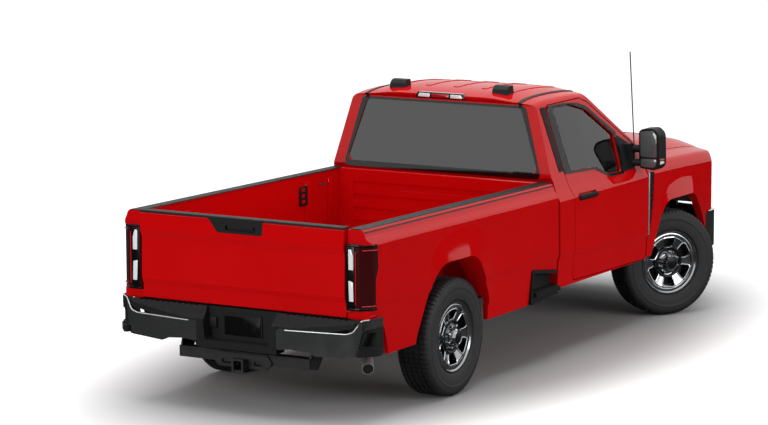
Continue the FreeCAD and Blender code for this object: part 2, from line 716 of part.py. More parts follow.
def cab_shell():
    """Roof, pillars, floor, sills, rear wall and bulkhead round the cabin."""
    beads = [box(150, 790, y - 22, y + 22, 1880, 2100) for y in (-480, -240, 0, 240, 480)]
    outer = cab_form(0).fuse(cab_form(-4).common(Part.makeCompound(beads)))
    under = box(-200, 2000, -1200, 1200, 300, sill_z)
    tunnel = box(-200, 2000, 120 - half_width, half_width - 120, 300, frame_top_z + seat)
    cabin = cab_form(wall).cut(box(-400, 2200, -1200, 1200, 300, floor_z))
    shell = outer.cut([under, tunnel, cabin])
    opening = side_prism(door_outline(gap), 600, 1200, door_radii)
    opening = opening.cut(box(-400, 2200, 0, half_width - door_thickness - 8, 300, 1264))
    shell = shell.cut(pair(opening) + [screen_opening(0), rear_opening(0)])
    hinges = []
    for side in (1, -1):
        for z in (720, 1090):
            leaf = box(1419.6, 1423.4, side * 890, side * (half_width - 2.5), z, z + 56)
            hinges += [leaf, Part.makeCylinder(2.6, 56, V(1421.5, side * (half_width - 2.5), z))]
    return shell.fuse(hinges).removeSplitter()


def screen_opening(grow):
    """Solid that passes through the windscreen, seen along the truck."""
    g = grow
    half = [(792 + g, 1352 - g), (630 + g, 1836 + g), (320, 1872 + g)]
    points, radii = symmetric(half, [60, 60, 400])
    return front_prism(points, 600, 2000, radii)


def rear_opening(grow):
    g = grow
    points, radii = symmetric([(822 + g, 1368 - g), (660 + g, 1848 + g)], [50, 40])
    return front_prism(points, -300, 120, radii)


def glass_layer(opening, inset):
    outer = cab_form(inset).common(opening)
    return outer.cut(cab_form(inset + glass_thickness).common(opening))


def door():
    """Whole left door: skin, frame and inner face, with the window cut through."""
    cab = cab_form(0).common(side_prism(door_outline(0), 600, 1200, door_radii))
    lower = cab.common(box(-400, 2200, half_width - door_thickness, 1200, 300, 1264))
    upper = cab.cut(cab_form(wall)).common(box(-400, 2200, 0, 1200, 1264, 2000))
    body = upper.fuse(lower)
    body = body.cut(side_prism(window_outline(0), 500, 1200, window_radii))
    grip = side_prism([(236, 1140), (236, 1196), (532, 1190), (532, 1134)], half_width - 24, 1200, 24)
    handle = side_prism([(258, 1152), (258, 1180), (512, 1176), (512, 1148)], half_width - 26, half_width + 14, 13)
    return body.cut(grip).fuse(handle).removeSplitter()


def door_glass():
    return glass_layer(side_prism(window_outline(-seat), 500, 1200, window_radii), 12)


def mirror_head():
    """Left towing mirror on two arms from its foot ahead of the window."""
    w = half_width
    foot = side_prism([(1160, 1262), (1172, 1462), (1246, 1452), (1262, 1262)], w - 130, w - 38, 16)
    sail = side_prism([(1058, 1548), (1030, 1256), (1250, 1256), (1336, 1390), (1262, 1448)], 700, 1200, 12)
    sail = cab_form(-4).common(sail)
    arms = [rod(V(1204, w - 104, 1420), V(1300, w + 40, 1404), 30), rod(V(1214, w - 80, 1306), V(1300, w + 40, 1300), 28)]
    outline = [(w + 4, 1262), (w - 2, 1562), (w + 120, 1576), (w + 168, 1532), (w + 174, 1290), (w + 138, 1250)]
    head = front_prism(outline, 1246, 1372, [34, 40, 60, 70, 50, 40])
    return foot.fuse([sail, head] + arms).cut(cab_form(-seat))


def bench_seat():
    """Bench with its back and two headrests."""
    cushion = side_prism([(300, 840), (300, 1020), (420, 1050), (860, 1070), (900, 1030), (900, 900), (860, 840)],
                         -760, 760, 40)
    back = side_prism([(150, 940), (60, 1560), (130, 1590), (210, 1580), (350, 980)], -760, 760, 30)
    seat_piece = cushion.fuse([back, box(340, 820, -700, 700, floor_z + seat, 842)])
    for y in (-430, 430):
        rest = side_prism([(52, 1612), (40, 1740), (70, 1770), (120, 1770), (140, 1740), (130, 1612)], y - 130, y + 130, 20)
        posts = [rod(V(96, y + k, 1560), V(94, y + k, 1640), 8) for k in (-50, 50)]
        seat_piece = seat_piece.fuse([rest] + posts)
    return seat_piece.removeSplitter()


column_axis = V(-0.892, 0, 0.452)
wheel_centre = V(996, 400, 1203)


def dashboard():
    """Dashboard up to the windscreen, centre stack and steering column."""
    dash = side_prism([(1150, 1080), (1120, 1200), (1160, 1280), (1300, 1304), (1850, 1304), (1850, 960), (1220, 960)],
                      -half_width + 104, half_width - 104, [30, 40, 60, 60, 0, 0, 60])
    dash = dash.common(cab_form(wall + seat))
    stack = side_prism([(1180, floor_z + seat), (1120, 1000), (1200, 1180), (1350, 1180), (1350, floor_z + seat)],
                       -170, 170, [0, 30, 30, 0, 0])
    column = rod(V(1200, 400, 1100), wheel_centre - column_axis * (16 + seat), 34)
    return dash.fuse([stack, column]).removeSplitter()


def steering_wheel():
    ring = Part.makeTorus(188, 15, V(0, 0, 0), V(0, 0, 1))
    parts = [Part.makeCylinder(62, 30, V(0, 0, -16))]
    for angle in (0, 180, 270):
        spoke = box(30, 186, -16, 16, -10, 8)
        spoke.rotate(V(0, 0, 0), V(0, 0, 1), angle)
        parts.append(spoke)
    wheel = ring.fuse(parts).removeSplitter()
    wheel.rotate(V(0, 0, 0), V(0, 0, 1), rest_steer * steering_ratio)
    tilt = FreeCAD.Placement(wheel_centre, FreeCAD.Rotation(V(0, 0, 1), column_axis))
    wheel.Placement = tilt.multiply(wheel.Placement)
    return wheel


def cab_trim():
    """Roof mouldings, rear corner pods, and the dark cover of each pillar behind the door."""
    strip = plan_prism([(-90, 640), (-90, 668), (790, 664), (790, 636)], 1850, 2100)
    moulding = cab_form(-4).common(strip).cut(cab_form(-seat))
    cover = side_prism([(48, 1376), (-6, 1852), (door_rear_x - 101 - gap - 3, 1852),
                        (door_rear_x - 52 - gap - 3, 1376)], 700, 1200, 8)
    pillar = cab_form(-4).common(cover).cut(cab_form(-seat))
    pod = side_prism([(14, 1890), (30, 1966), (58, 1990), (116, 1994), (136, 1890)], 376, 504, 10).cut(cab_form(-seat))
    return pair(moulding) + pair(pillar) + pair(pod)


def cowl_trim():
    """Panel below the windscreen with the hood's hinge pins, and the rod antenna."""
    upper = [(hood_half, 1280), (500, 1334), (300, 1364)]
    points = upper + [(-y, z) for y, z in reversed(upper)]
    points += [(y, z - 14) for y, z in reversed(points)]
    panel = front_prism(points, 1480, 1816).cut(cab_form(-seat))
    for side in (1, -1):
        arm = box(1806, 1816, side * 560, side * 620, 1312, 1334)
        pin = rod(V(1822, side * 560, 1330), V(1822, side * 620, 1330), 3.6)
        bridge = box(1812, 1820, side * 560, side * 620, 1328, 1332)
        panel = panel.fuse([arm, pin, bridge])
    mast = rod(V(1740, -722, 1290), V(1648, -722, 2110), 3.2)
    base = Part.makeCone(20, 9, 60, V(1741, -722, 1284), V(-92, 0, 820))
    raised = panel.copy()
    raised.translate(V(0, 0, seat))
    antenna = mast.fuse(base).cut([panel, raised, cab_form(-seat)])
    return [panel.removeSplitter(), antenna]


# Front end

def front_fenders():
    shell = nose_form(0).cut(nose_form(skin))
    h = hood_half + gap
    lamps = front_prism(lamp_window, 2500, 3000, 40)
    vent = side_prism(vent_outline(0), half_width - 16, 1200, 8)
    return [shell.cut([
        box(1300, 3000, -1200, 1200, 300, 540), box(1300, 3000, -h, h, 300, 1600), front_arch(-1200, 1200),
        box(2500, 3000, -1200, 1200, 300, 750), lamps, mirrored(lamps), vent, mirrored(vent), cab_form(-gap / 2),
        box(1300, 1562, -835, 835, 1200, 1272),  # relief under the skin beside the cowl
    ])]


def vent_outline(inset):
    """Fender vent behind the wheel arch, a long wedge that narrows downwards."""
    i = inset
    return [(1431 + i, 703 + i), (1431 + i, 1206 - i), (1530 - i, 1198 - i), (1514 - i, 980), (1456 - i, 703 + i)]


def fender_vents():
    """Dark ribbed vents with a bright rear edge."""
    body = side_prism(vent_outline(seat), half_width - 15.7, half_width - 3, 8)
    slots = []
    for k in range(9):
        z = 770 + k * 46
        slots.append(side_prism([(1446, z), (1446, z + 26), (1536, z + 38), (1536, z + 12)], half_width - 9, 1200))
    return pair(body.cut(slots + [cab_form(-gap / 2)]))


def engine_bay():
    """Wheel liners, inner aprons, radiator, and the panel that carries it with the grille."""
    x = front_axle_x
    outer = rail_y + rail_width
    sheet = front_arch(outer, 1000, 60).cut(front_arch(490, 1010, 52))
    sheet = sheet.cut([box(x - 460, x + 470, 400, 1100, 300, 900), box(0, 3000, 400, outer + seat, 300, 790.3)])
    floor_cut = box(1300, 3000, 400, 1100, 300, 600)
    liner = sheet.cut(floor_cut).common(nose_form(skin + seat))
    apron = box(1530, 2490, outer - 8, outer, 790.3, 1240)
    apron = apron.cut(front_arch(490, 520, 52)).common(nose_form(skin + seat))
    side = liner.fuse(apron).removeSplitter()
    foot = side_prism([(2570, 720 + seat), (2570, 752), (2808 - seat, 752), (2808 - seat, 720 + seat)], 444, 512)
    foot = foot.cut(side_prism([(2400, 700), (2400, 741), (2428, 741), (2641, 721), (2641, 700)], 400, 600))
    panel = box(2768, 2808 - seat, -602, 602, 740, 1180).cut(box(2700, 2900, -440, 440, 790, 1120))
    radiator = box(2690, 2730, -446, 446, 752, 1110)
    return pair(side) + [panel.fuse(pair(foot) + [radiator]).removeSplitter()]


def hood():
    """Hood with its raised middle, turned down at the front edge."""
    shell = nose_form(0).cut(nose_form(skin))
    h = hood_half
    outline = plan_prism([(hood_rear_x, -h), (hood_rear_x, h), (3000, h), (3000, -h)], 1100, 1600)
    relief = box(1800, 1862, -540, 540, 1200, 1500)  # lets the rear edge swing past the cowl
    return shell.common(outline).cut([box(2500, 3000, -1200, 1200, 0, hood_lip_z), relief])


# Bed

def bedside(side):
    """Outer side of the bed with its rail, shoulder, crease, rear post and wheel arch."""
    def section(x):
        top = rail_z(x) - 6
        low, low_radii = lower_side(x, 0)
        half = [
            (bed_inner_y, 640), (bed_inner_y, top), (944, top), (966, top - 54), (half_width, top - 98),
        ] + low[::-1] + [(half_width - 60, 470), (half_width - 60, 640)]
        return rounded_wire([V(x, y, z) for y, z in half], [0, 8, 24, 60, 40] + low_radii[::-1] + [0, 0])
    body = Part.makeLoft([section(bed_front_x), section(bed_rear_x)], True, True)
    post = box(bed_rear_x, -2700, tailgate_half + gap, 870, 745, rail_rear_z - 8)
    pin = rod(V(tailgate_hinge.x, tailgate_half + seat, tailgate_hinge.z),
              V(tailgate_hinge.x, 860, tailgate_hinge.z), 12)
    corner = [(0, 500), (0, half_width + 4), (bed_rear_x - 20, half_width + 4), (bed_rear_x - 20, 500)]
    body = body.fuse(post).fuse(pin).common(plan_prism(corner, 300, 1500, [0, 0, 90, 0]))
    rear_end = side_prism([(bed_rear_x - 20, 400), (bed_rear_x - 20, 740), (-2660, 740), (-2560, 500), (-2560, 400)],
                          700, 1200)
    step = side_prism([(-540, 400), (-500, 730), (-60, 668), (-60, 400)], 900, 1200, 24)
    body = body.cut([rear_arch(700, 1200), lamp_block(seat), step, rear_end])
    if side > 0:
        body = body.cut(side_prism(fuel_door_outline(5), half_width - 40, 1200, 24))
        body = body.fuse(box(-420, -384, half_width - 42, half_width - 14 - seat, 1040, 1120))
    return body.removeSplitter() if side > 0 else mirrored(body.removeSplitter())


def fuel_door_outline(grow):
    x = -470
    z = 1060
    half = 88 + grow
    return [(x - half, z - half), (x - half, z + half), (x + half, z + half), (x + half, z - half)]


def fuel_door():
    lid = box(-600, -300, half_width - 14, half_width + 0.5, 900, 1300)
    return lid.common(side_prism(fuel_door_outline(0), 900, 1200, 20))


def lamp_block(grow):
    g = grow
    return side_prism([(bed_rear_x - 60, 804 - g), (bed_rear_x - 60, 1252 + g), (-2748 + g, 1252 + g),
                       (-2738 + g, 1092), (-2772 + g, 1016), (-2772 + g, 804 - g)], 820, 1200,
                      [0, 0, 20, 20, 20, 0])


def tail_lamps():
    """Upright lamps wrapped round the rear corners, and the high lamp on the roof edge."""
    plan = plan_prism([(-2738, 826), (bed_rear_x - 30, 826), (bed_rear_x - 22, 930), (-2790, half_width + 6),
                       (-2738, half_width + 6)], 760, 1300, [0, 10, 50, 40, 0])
    lamp = lamp_block(0).common(plan)
    high = front_prism([(-218, 1886), (-190, 1930), (190, 1930), (218, 1886)], -96, -60, 8).cut(cab_form(-seat))
    return pair(lamp) + [high]


def bed_box():
    """Ribbed floor, front wall with its flutes, and the wheelhouses."""
    rear = tailgate_face_x + tailgate_thickness + 27
    half = bed_inner_y - seat
    top = rail_front_z - 6
    floor = box(rear, bed_front_x, -half, half, bed_under_z, bed_floor_z - 8)
    ribs = [box(rear, bed_front_x - 60, y - 40, y + 40, bed_floor_z - 10, bed_floor_z) for y in range(-560, 561, 140)]
    front = box(bed_front_x - 62, bed_front_x, -half, half, bed_under_z, top)
    flutes = [box(bed_front_x - 70, bed_front_x - 52, -720, 720, z - 26, z + 26) for z in (900, 1000, 1100, 1200)]
    corner = box(rear - 1, -2700 + seat, tailgate_half + gap - seat, half + 1, bed_under_z - 1, bed_floor_z + 1)
    tub = floor.fuse(ribs + [front.cut(flutes)]).cut(pair(corner))
    houses = []
    for side in (1, -1):
        house = rear_arch(side * wheelhouse_y, side * half, 44)
        inner = rear_arch(side * (wheelhouse_y + 20), side * (half + 1), 24)
        tub = tub.cut(inner)
        houses.append(house.cut([inner, box(-4000, 0, -1200, 1200, 0, bed_floor_z - 90)]))
    return tub.fuse(houses).removeSplitter()


def bed_trim():
    """Rail caps, side step pockets and the valances behind the rear wheels."""
    def cap_section(x):
        top = rail_z(x)
        half = [(bed_inner_y - 8, top - 30), (bed_inner_y - 8, top), (930, top), (956, top - 26), (950, top - 32),
                (930, top - 6 + seat), (bed_inner_y - seat, top - 6 + seat), (bed_inner_y - seat, top - 30)]
        return rounded_wire([V(x, y, z) for y, z in half], [0, 5, 22, 0, 0, 16, 0, 0])
    cap = Part.makeLoft([cap_section(bed_front_x), cap_section(bed_rear_x)], True, True)
    cap = cap.cut(Part.makeLoft([cap_cutter(bed_front_x + 1), cap_cutter(bed_rear_x - 1)], True, True))
    cap = cap.cut(box(bed_rear_x - 1, -2700 + seat, 800, bed_inner_y + 1, 1200, rail_rear_z - 8 + seat))
    pocket = side_prism([(-526, 470), (-497, 727), (-63, 665), (-63, 500)], 900 + seat, half_width - 4, 22)
    pocket = pocket.common(box(-600, bed_front_x - seat, 800, 1200, 400, 800))
    pocket = pocket.cut(side_prism([(-500, 560), (-470, 700), (-90, 646), (-90, 560)], 930, 1200, 20))
    tread = side_prism([(-480, 524), (-480, 558), (-100, 558), (-100, 524)], 930, half_width + 20, 8)
    valance = side_prism([(-2640, 500), (-2680, 639), (-2210, 639), (-2200, 500)], 915, half_width - 60 - seat, 20)
    return pair(cap) + pair(pocket.fuse(tread).removeSplitter()) + pair(valance)


def cap_cutter(x):
    """Section of the bedside's rail that the cap lies on."""
    top = rail_z(x) - 6 + seat
    points = [(700, top - 200), (700, top), (944, top), (972, top - 66), (972, top - 200)]
    return rounded_wire([V(x, y, z) for y, z in points], [0, 0, 24, 0, 0])


def tailgate():
    """Pressed tailgate: lip, crease ledge, flat field and undercut, with a handle recess."""
    f = tailgate_face_x
    t = tailgate_thickness
    profile = [
        (f + t, tailgate_bottom_z + 26), (f + t, tailgate_top_z), (f + 6, tailgate_top_z), (f - 4, 1230),
        (f + 16, 1180), (f + 12, 888), (f + 30, 850), (f + 34, tailgate_bottom_z), (f + t - 14, tailgate_bottom_z),
    ]
    gate = side_prism(profile, -tailgate_half, tailgate_half, [0, 8, 10, 10, 16, 16, 10, 8, 20])
    recess = front_prism([(-178, 1256), (-178, 1360), (268, 1360), (186, 1256)], f - 20, f + 34, [20, 0, 0, 30])
    panel = box(f + t - 12, f + t + 1, -640, 640, 900, 1240)
    return gate.cut([recess, panel])


def tailgate_trim():
    """Dark cap along the top edge, and the handle in its recess."""
    f = tailgate_face_x
    t = tailgate_thickness
    top = tailgate_top_z
    cap = box(f + 1, f + t + 2, -tailgate_half, tailgate_half, top + seat, top + 14)
    cap = softened(cap, [e for e in cap.Edges if e.BoundBox.YLength > 1000 and e.BoundBox.ZMin > top + 5], 8)
    c = seat
    outline = [(-178 + c, 1256 + c), (-178 + c, top + 1), (262 - c, top + 1), (186 - c, 1256 + c)]
    bezel = front_prism(outline, f + 1, f + 34 - c, [20, 0, 0, 30])
    scoop = front_prism([(-120, 1276), (-120, 1312), (120, 1312), (120, 1276)], f - 5, f + 22, 12)
    flap = box(f + 1, f + 10, -104, 104, 1292, 1313)
    return cap.fuse([bezel.cut(scoop), flap]).removeSplitter()


spare_centre = V(-2320, 0, 580)


def spare_rim():
    wheel = rim(V(0, 0, 0), 1)
    wheel.Placement = FreeCAD.Placement(spare_centre, FreeCAD.Rotation(V(0, 1, 0), V(0, 0, -1)))
    return wheel


def main():
    os.makedirs("parts", exist_ok=True)
    single = [
        frame_rails, crossmembers, powertrain, driveshafts, exhaust, fuel_tank, front_axle, rear_axle, suspension,
        hitch, rear_bumper, rear_bumper_pads, front_bumper, grille, headlamps, tail_lamps, cab_shell, bench_seat,
        dashboard, steering_wheel, cab_trim, cowl_trim, front_fenders, fender_vents, engine_bay, hood, bed_box,
        bed_trim, fuel_door, tailgate, tailgate_trim, tie_rod, spare_rim,
    ]
    for make in single:
        save(make.__name__, make())
    save("bedsides", bedside(1), bedside(-1))
    save("windscreen", glass_layer(screen_opening(-seat), 12))
    save("rear_window", glass_layer(rear_opening(-seat), 6))
    save("spare_tyre", turned(tyre_profile(), spare_centre, V(0, 0, 1)))
    for name, piece in (("door", door()), ("door_glass", door_glass()), ("mirror", mirror_head())):
        save(name + "_left", piece)
        save(name + "_right", mirrored(piece))
    for side, name in ((1, "left"), (-1, "right")):
        front = V(front_axle_x, side * front_track / 2, tyre_radius)
        rear = V(rear_axle_x, side * rear_track / 2, tyre_radius)
        save("knuckle_" + name, knuckle(side))
        save("tyre_front_" + name, steered(tyre(front), side))
        save("rim_front_" + name, steered(rim(front, side), side))
        save("tyre_rear_" + name, tyre(rear))
        save("rim_rear_" + name, rim(rear, side))


main()
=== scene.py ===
import json
import math
import bmesh
import bpy
from mathutils import Matrix, Vector
from mathutils.bvhtree import BVHTree


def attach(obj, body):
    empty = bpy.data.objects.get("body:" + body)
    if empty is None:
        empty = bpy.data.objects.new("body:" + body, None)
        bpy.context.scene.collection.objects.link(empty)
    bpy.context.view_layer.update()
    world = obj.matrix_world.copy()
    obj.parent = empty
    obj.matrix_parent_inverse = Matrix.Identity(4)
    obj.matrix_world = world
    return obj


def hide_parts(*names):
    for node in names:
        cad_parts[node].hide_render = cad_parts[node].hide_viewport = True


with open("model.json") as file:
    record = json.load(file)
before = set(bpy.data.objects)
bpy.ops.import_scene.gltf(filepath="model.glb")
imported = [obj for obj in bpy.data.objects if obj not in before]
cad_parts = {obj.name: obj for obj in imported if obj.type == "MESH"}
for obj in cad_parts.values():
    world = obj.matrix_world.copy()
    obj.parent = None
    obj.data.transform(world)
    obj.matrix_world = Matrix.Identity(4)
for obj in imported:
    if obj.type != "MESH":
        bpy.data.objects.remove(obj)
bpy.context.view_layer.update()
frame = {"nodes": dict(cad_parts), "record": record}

nodes = frame["nodes"]
mm = 0.001
print("frame loaded:", len(nodes), "nodes")


def linear(hexColour, alpha=1.0):  # sRGB hex to the linear colour that shaders take
    channels = [int(hexColour[i:i + 2], 16) / 255 for i in (1, 3, 5)]
    return [c / 12.92 if c <= 0.04045 else ((c + 0.055) / 1.055) ** 2.4 for c in channels] + [alpha]


# adds a node: settings are its properties or its sockets' values, links feed its inputs
def addNode(material, kind, links=None, **settings):
    node = material.node_tree.nodes.new(kind)
    for name, value in settings.items():
        if name in node.bl_rna.properties:
            setattr(node, name, value)
        else:
            node.inputs[name.replace("_", " ")].default_value = value
    for socket, source in (links or {}).items():
        material.node_tree.links.new(source, node.inputs[socket])
    return node


# a material with its main shader; metals keep the default IOR
def newMaterial(name, hexColour, roughness, **settings):
    material = bpy.data.materials.new(name)
    material.use_nodes = True
    material.node_tree.nodes.clear()
    shader = addNode(material, "ShaderNodeBsdfPrincipled", Base_Color=linear(hexColour), Roughness=roughness,
                     **settings)
    addNode(material, "ShaderNodeOutputMaterial", {"Surface": shader.outputs[0]})
    material.diffuse_color = linear(hexColour)
    return material, shader


# fine relief from noise whose spots are about grainMm wide and depthMm deep
def addGrain(material, shader, grainMm, depthMm, detail=2.0, strength=1.0):
    where = addNode(material, "ShaderNodeTexCoord")
    noise = addNode(material, "ShaderNodeTexNoise", {"Vector": where.outputs["Object"]},
                    Scale=1000 / grainMm, Detail=detail, Roughness=0.55)
    bump = addNode(material, "ShaderNodeBump", {"Height": noise.outputs[0]}, Strength=strength,
                   Distance=depthMm / 1000)
    material.node_tree.links.new(bump.outputs[0], shader.inputs["Normal"])
    return bump


# the named socket wanders between two values or colours in patches about patchMm wide
def addVariation(material, shader, socket, low, high, patchMm, detail=3.0):
    where = addNode(material, "ShaderNodeTexCoord")
    noise = addNode(material, "ShaderNodeTexNoise", {"Vector": where.outputs["Object"]},
                    Scale=1000 / patchMm, Detail=detail)
    ramp = addNode(material, "ShaderNodeValToRGB", {"Fac": noise.outputs[0]})
    ends = [linear(v) if isinstance(v, str) else [v, v, v, 1] for v in (low, high)]
    ramp.color_ramp.elements[0].position, ramp.color_ramp.elements[1].position = 0.35, 0.65
    ramp.color_ramp.elements[0].color, ramp.color_ramp.elements[1].color = ends
    material.node_tree.links.new(ramp.outputs[0], shader.inputs[socket])


def bodyPaint():  # baked red enamel under clear lacquer: even deep colour, sharp gloss with a trace of peel
    material, shader = newMaterial("red gloss enamel", "#ca080c", 0.45, Specular_IOR_Level=0.0, Coat_Weight=0.6,
                                   Coat_Roughness=0.03)
    bump = addGrain(material, shader, 9, 0.01, 1.0, 0.2)
    material.node_tree.links.new(bump.outputs[0], shader.inputs["Coat Normal"])
    addVariation(material, shader, "Base Color", "#c7070b", "#cd090d", 900)
    return material


def chassisPaint():  # satin black frame coating with a slight sag in it
    material, shader = newMaterial("black chassis coating", "#101011", 0.5)
    addGrain(material, shader, 6, 0.08)
    addVariation(material, shader, "Roughness", 0.42, 0.62, 60)
    return material


def castMetal():  # sand-cast iron: coarse skin, no gloss
    material, shader = newMaterial("cast iron", "#2c2c2d", 0.62, Metallic=0.8)
    addGrain(material, shader, 2.5, 0.25)
    addVariation(material, shader, "Roughness", 0.5, 0.75, 30)
    return material


def exhaustSteel():  # rolled stainless tube dulled by heat
    material, shader = newMaterial("stainless exhaust tube", "#5d5a57", 0.42, Metallic=1.0)
    addGrain(material, shader, 5, 0.04)
    addVariation(material, shader, "Base Color", "#4d4a47", "#6c6966", 90)
    return material


def chromePlate():  # bumper chrome: bright, with the faint wave of pressed sheet
    material, shader = newMaterial("chrome plate", "#b9bbbd", 0.1, Metallic=1.0)
    addGrain(material, shader, 120, 0.25, 1.0, 0.3)
    addVariation(material, shader, "Roughness", 0.07, 0.14, 200)
    return material


def polishedAlloy(name="dark polished aluminium", colour="#a9acaf"):  # machined, polished and lacquered
    material, shader = newMaterial(name, colour, 0.14, Metallic=1.0)
    addGrain(material, shader, 14, 0.02, 1.0, 0.4)
    addVariation(material, shader, "Roughness", 0.1, 0.2, 60)
    return material


def grainedPlastic(name="grained black polypropylene", colour="#0e0f10", roughness=0.55, grainMm=2.2):
    # moulded in colour with a leather-like grain, drawn about twice as coarse as real so that it shows
    material, shader = newMaterial(name, colour, roughness, IOR=1.49, Specular_IOR_Level=0.22)
    addGrain(material, shader, grainMm, 0.12, 3.0, 0.7)
    addVariation(material, shader, "Roughness", roughness - 0.05, roughness + 0.08, 40)
    return material


def seatCloth():  # woven cloth: two sets of threads about 1.5 mm apart, drawn at 8 mm so that they show
    material, shader = newMaterial("woven seat cloth", "#3b3d42", 0.9, Sheen_Weight=0.3)
    threadMm = 7.854  # a wave's bands lie tau / 20 / scale apart
    where = addNode(material, "ShaderNodeTexCoord")
    threads = [addNode(material, "ShaderNodeTexWave", {"Vector": where.outputs["Object"]}, bands_direction=d,
                       Scale=1000 * math.tau / 20 / threadMm, Distortion=0.4) for d in ("X", "Y")]
    both = addNode(material, "ShaderNodeMath", {0: threads[0].outputs[1], 1: threads[1].outputs[1]}, operation="ADD")
    bump = addNode(material, "ShaderNodeBump", {"Height": both.outputs[0]}, Strength=0.4, Distance=0.0006)
    material.node_tree.links.new(bump.outputs[0], shader.inputs["Normal"])
    addVariation(material, shader, "Base Color", "#34363b", "#43454b", 12)
    return material


def tyreRubber():  # matt carbon black rubber
    material, shader = newMaterial("tyre rubber", "#19191a", 0.68)
    addGrain(material, shader, 3, 0.1)
    addVariation(material, shader, "Base Color", "#161617", "#1e1e1f", 50)
    return material


def windowGlass(name, colour, ior=1.5):  # float glass with its tint in the sheet; a coating raises its gloss
    material = bpy.data.materials.new(name)
    material.use_nodes = True
    material.node_tree.nodes.clear()
    clear = addNode(material, "ShaderNodeBsdfTransparent", Color=linear(colour))
    gloss = addNode(material, "ShaderNodeBsdfGlossy", Color=[1, 1, 1, 1], Roughness=0.02)
    where = addNode(material, "ShaderNodeTexCoord")
    wave = addNode(material, "ShaderNodeTexNoise", {"Vector": where.outputs["Object"]}, Scale=2.0, Detail=0.0)
    bump = addNode(material, "ShaderNodeBump", {"Height": wave.outputs[0]}, Strength=0.05, Distance=0.02)
    material.node_tree.links.new(bump.outputs[0], gloss.inputs["Normal"])
    edge = addNode(material, "ShaderNodeFresnel", IOR=ior)
    mix = addNode(material, "ShaderNodeMixShader", {0: edge.outputs[0], 1: clear.outputs[0], 2: gloss.outputs[0]})
    addNode(material, "ShaderNodeOutputMaterial", {"Surface": mix.outputs[0]})
    return material


def lampLens(name, colour, roughness=0.05, prismMm=60, depthMm=0.05):  # moulded polycarbonate lens
    material, shader = newMaterial(name, colour, roughness, IOR=1.58, Coat_Weight=0.6, Coat_Roughness=0.03)
    addGrain(material, shader, prismMm, depthMm, 1.0, 0.3)
    return material


def satinTrimAndHighlight():  # anodised aluminium strip, satin, so that it stays light from all sides; also the colour of the painted highlight along the bumper's top
    material, shader = newMaterial("satin anodised trim", "#d9dbdd", 0.34, Metallic=0.7)
    addGrain(material, shader, 3, 0.01, 1.0, 0.3)
    addVariation(material, shader, "Roughness", 0.3, 0.4, 80)
    return material


def edgeGlass():  # glass backed with black enamel, as along the rim of a bonded window
    material, shader = newMaterial("black enamelled glass edge", "#060607", 0.03, IOR=1.52)
    addGrain(material, shader, 400, 0.2, 0.0, 0.2)
    return material


def mirrorWithPaintedReflection():  # a mirror drawn as one even grey under the gloss of its front: a painted reflection of the pale studio
    material, shader = newMaterial("silvered mirror glass", "#55585a", 0.08, Coat_Weight=1.0, Coat_Roughness=0.02)
    addGrain(material, shader, 300, 0.1, 0.0, 0.2)
    return material


finishes = {
    "paint": bodyPaint(),
    "chassis_paint": chassisPaint(),
    "cast_metal": castMetal(),
    "steel": exhaustSteel(),
    "bright_metal": chromePlate(),
    "rim_metal": polishedAlloy(),
    "black_plastic": grainedPlastic(),
    "tank_plastic": grainedPlastic("black blow-moulded polyethylene", "#1b1c1e", 0.6, 4),
    "dash_plastic": grainedPlastic("soft grained dashboard skin", "#26272a", 0.65, 2),
    "seat_cloth": seatCloth(),
    "tyre": tyreRubber(),
    "lamp_glass": lampLens("clear polycarbonate", "#a9adb2"),
    "tail_lamp": lampLens("smoked red polycarbonate", "#3a0306", 0.06, 14, 0.6),
    "clear_glass": windowGlass("tinted side glass", "#dde1e1", 1.55),
    "dark_glass": windowGlass("privacy glass", "#6b7073", 1.9),
}
glossBlack = grainedPlastic("gloss black moulding", "#0b0b0c", 0.16, 30)
sealRubber = grainedPlastic("black window seal", "#0f1011", 0.55, 6)
brightTrimAndHighlight = satinTrimAndHighlight()
clearReflector = lampLens("metallised lamp reflector", "#eef1f3", 0.12)
redSignal = lampLens("red signal lens", "#b3141a", 0.08, 8, 0.5)
amberSignal = lampLens("amber signal lens", "#c8600c", 0.08, 8, 0.5)
mirrorPaintedReflection = mirrorWithPaintedReflection()
slotOf = {part["node"]: part["material_slot"] for part in frame["record"]["subparts"]}
for name, node in nodes.items():
    node.data.materials.clear()
    node.data.materials.append(finishes[slotOf[name]])
print("materials set")


# corners of an outline, in millimetres, rounded by arcs of `steps` points each
def rounded(corners, radii, steps=6):
    if isinstance(radii, (int, float)):
        radii = [radii] * len(corners)
    outline = []
    for k, corner in enumerate(corners):
        here = Vector(corner)
        before, after = Vector(corners[k - 1]), Vector(corners[(k + 1) % len(corners)])
        toBefore, toAfter = (before - here).normalized(), (after - here).normalized()
        half = toBefore.angle(toAfter) / 2
        if radii[k] <= 0 or half > math.radians(89):
            outline += [here.copy() for _ in range(steps + 1)] if radii[k] > 0 else [here]
            continue
        back = min(radii[k] / math.tan(half), (before - here).length * 0.49, (after - here).length * 0.49)
        first, last = here + toBefore * back, here + toAfter * back
        for i in range(steps + 1):
            t = i / steps
            outline.append(first * (1 - t) ** 2 + here * 2 * t * (1 - t) + last * t ** 2)
    return [(p.x, p.y) for p in outline]


